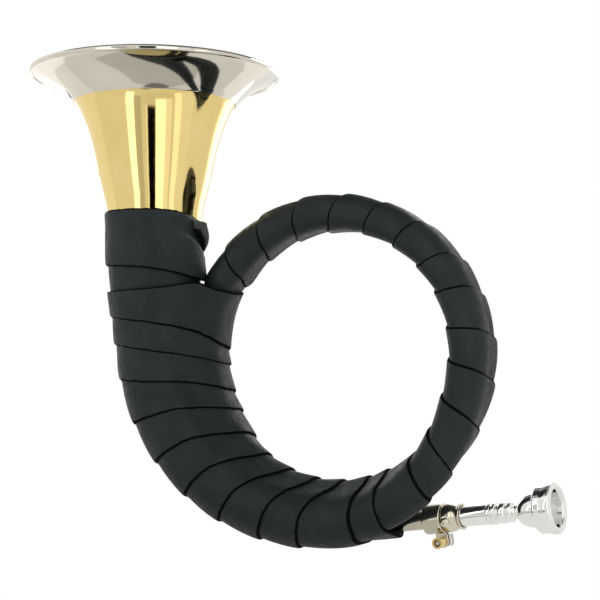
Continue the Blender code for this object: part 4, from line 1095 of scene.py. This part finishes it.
def view_axes():
    """The camera's right and its level way forward."""
    turn = math.radians(VIEW_AZIMUTH)
    return Vector((math.cos(turn), math.sin(turn), 0.0)), Vector((-math.sin(turn), math.cos(turn), 0.0))


def sheet(name, vertices, faces, material):
    """A stage sheet from points in metres."""
    mesh = bpy.data.meshes.new(name)
    mesh.from_pydata([tuple(v) for v in vertices], [], faces)
    mesh.materials.append(material)
    return linked(name, mesh)


def card(name, azimuth, elevation, width, height, strength):
    """A flat card out of the camera's sight that faces the horn. Azimuth 90 is to the camera's right."""
    right, forward = view_axes()
    turn, up = math.radians(azimuth), math.radians(elevation)
    toward = -forward * (math.cos(turn) * math.cos(up)) + right * (math.sin(turn) * math.cos(up))
    toward += Vector((0.0, 0.0, math.sin(up)))
    w, h = width / 2, height / 2
    corners = [(-w, -h, 0.0), (w, -h, 0.0), (w, h, 0.0), (-w, h, 0.0)]
    obj = sheet(name, corners, [(0, 1, 2, 3)], emitter(name, strength))
    turned_to = toward.to_track_quat("Z", "Y").to_matrix().to_4x4()
    obj.matrix_world = Matrix.Translation(CENTRE + toward * CARD_DISTANCE_M) @ turned_to
    obj.visible_camera = False


def hidden_stage(name, vertices, faces, strength, colour):
    """A glowing sheet, from points in millimetres, that only lights the horn and shows in its polish."""
    obj = sheet(name, [TO_ROW @ Vector(v) for v in vertices], faces, emitter(name, strength, colour))
    obj.visible_camera = False


def round_bell(bearing, distance):
    """A level point round the bell's axis. Bearing 0 is toward the camera, 90 to its right."""
    right, forward = view_axes()
    to_camera = right * VIEW_ASIDE - forward * VIEW_DISTANCE + Vector((BELL_AXIS_X, BELL_DEPTH, 0.0))
    turn = math.atan2(to_camera.y, to_camera.x) + math.radians(bearing)
    return Vector((distance * math.cos(turn) - BELL_AXIS_X, distance * math.sin(turn) - BELL_DEPTH, 0.0))


def screen(name, first, last, low, high, strength):
    """An upright curved screen between two bearings from the bell."""
    steps = max(2, round((last - first) / SCREEN_STEP_DEG))
    distance = NEAR_SCREEN if first > NEAR_FROM_DEG and last < NEAR_TO_DEG else FAR_SCREEN
    base = [round_bell(bearing, distance) for bearing in np.linspace(first, last, steps + 1)]
    low = max(low, TABLE_Z + 1.0)
    vertices = [(p.x, p.y, low) for p in base] + [(p.x, p.y, high) for p in base]
    n = len(base)
    faces = [(i, i + 1, n + i + 1, n + i) for i in range(n - 1)]
    hidden_stage("screen_" + name, vertices, faces, strength, WARM)


def left_line():
    """The thin dark line before the left glare."""
    points = [round_bell(bearing, FAR_SCREEN - LEFT_LINE_BEFORE) for bearing, _ in LEFT_LINE]
    vertices = [(p.x, p.y, height) for p, (_, height) in zip(points, LEFT_LINE)]
    hidden_stage("screen_left_line", vertices, [tuple(range(len(vertices)))], LEFT_LINE_STRENGTH, WARM)


def patch(name, strength, colour, corners, lift):
    """A patch just over the table, from corners given as bearing and distance from the bell."""
    points = [round_bell(bearing, distance) for bearing, distance in corners]
    vertices = [(p.x, p.y, TABLE_Z + lift) for p in points]
    hidden_stage("patch_" + name, vertices, [tuple(range(len(points)))], strength, colour)


def build_floor():
    low = Vector(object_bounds()[0])
    r = STAGE_FLOOR_M
    corners = [(-r, -r, low.z), (r, -r, low.z), (r, r, low.z), (-r, r, low.z)]
    floor = sheet("floor", corners, [(0, 1, 2, 3)], emitter("lit_table", 1.0))


def build_world():
    world = bpy.data.worlds.new("studio")
    bpy.context.scene.world = world
    world.use_nodes = True
    world.node_tree.nodes["Background"].inputs["Color"].default_value = (*WHITE, 1.0)
    world.node_tree.nodes["Background"].inputs["Strength"].default_value = 1.0


def build_stage():
    build_floor()
    build_world()
    for values in CARDS:
        card(*values)
    for values in BELL_SURROUNDINGS:
        screen(*values)
    left_line()
    for i, values in enumerate(TABLE_PATCHES):
        patch(*values, PATCH_LIFT + PATCH_STEP * i)


def build_camera():
    right, forward = view_axes()
    camera_data = bpy.data.cameras.new("camera")
    camera_data.lens = FOCAL_PX / FRAME_PX * SENSOR_MM
    camera_data.sensor_width = SENSOR_MM
    camera_data.shift_y = (HORIZON_PX - FRAME_PX / 2) / FRAME_PX
    camera_data.clip_start = CLIP_START_M
    camera = linked("camera", camera_data)
    place = CENTRE + (right * VIEW_ASIDE - forward * VIEW_DISTANCE) * MM
    axes = Matrix((right, Vector((0.0, 0.0, 1.0)), -forward)).transposed().to_4x4()
    camera.matrix_world = Matrix.Translation(place) @ axes
    bpy.context.scene.camera = camera
    bpy.context.scene.view_settings.view_transform = "Standard"


def build_horn():
    build_winding()
    build_collar()
    build_folded_end()
    bell_line = flare_line()
    build_bell_shell(bell_line)
    build_garland(bell_line)
    build_mouthpipe()
    build_clamp_collar()
    build_clamp_barrel()
    build_clamp_washer()
    build_thumb_screw()
    build_receiver()
    build_inner_slide()
    build_pin_head()
    build_mouthpiece()
    dress_frame()


build_camera()
build_horn()
build_stage()
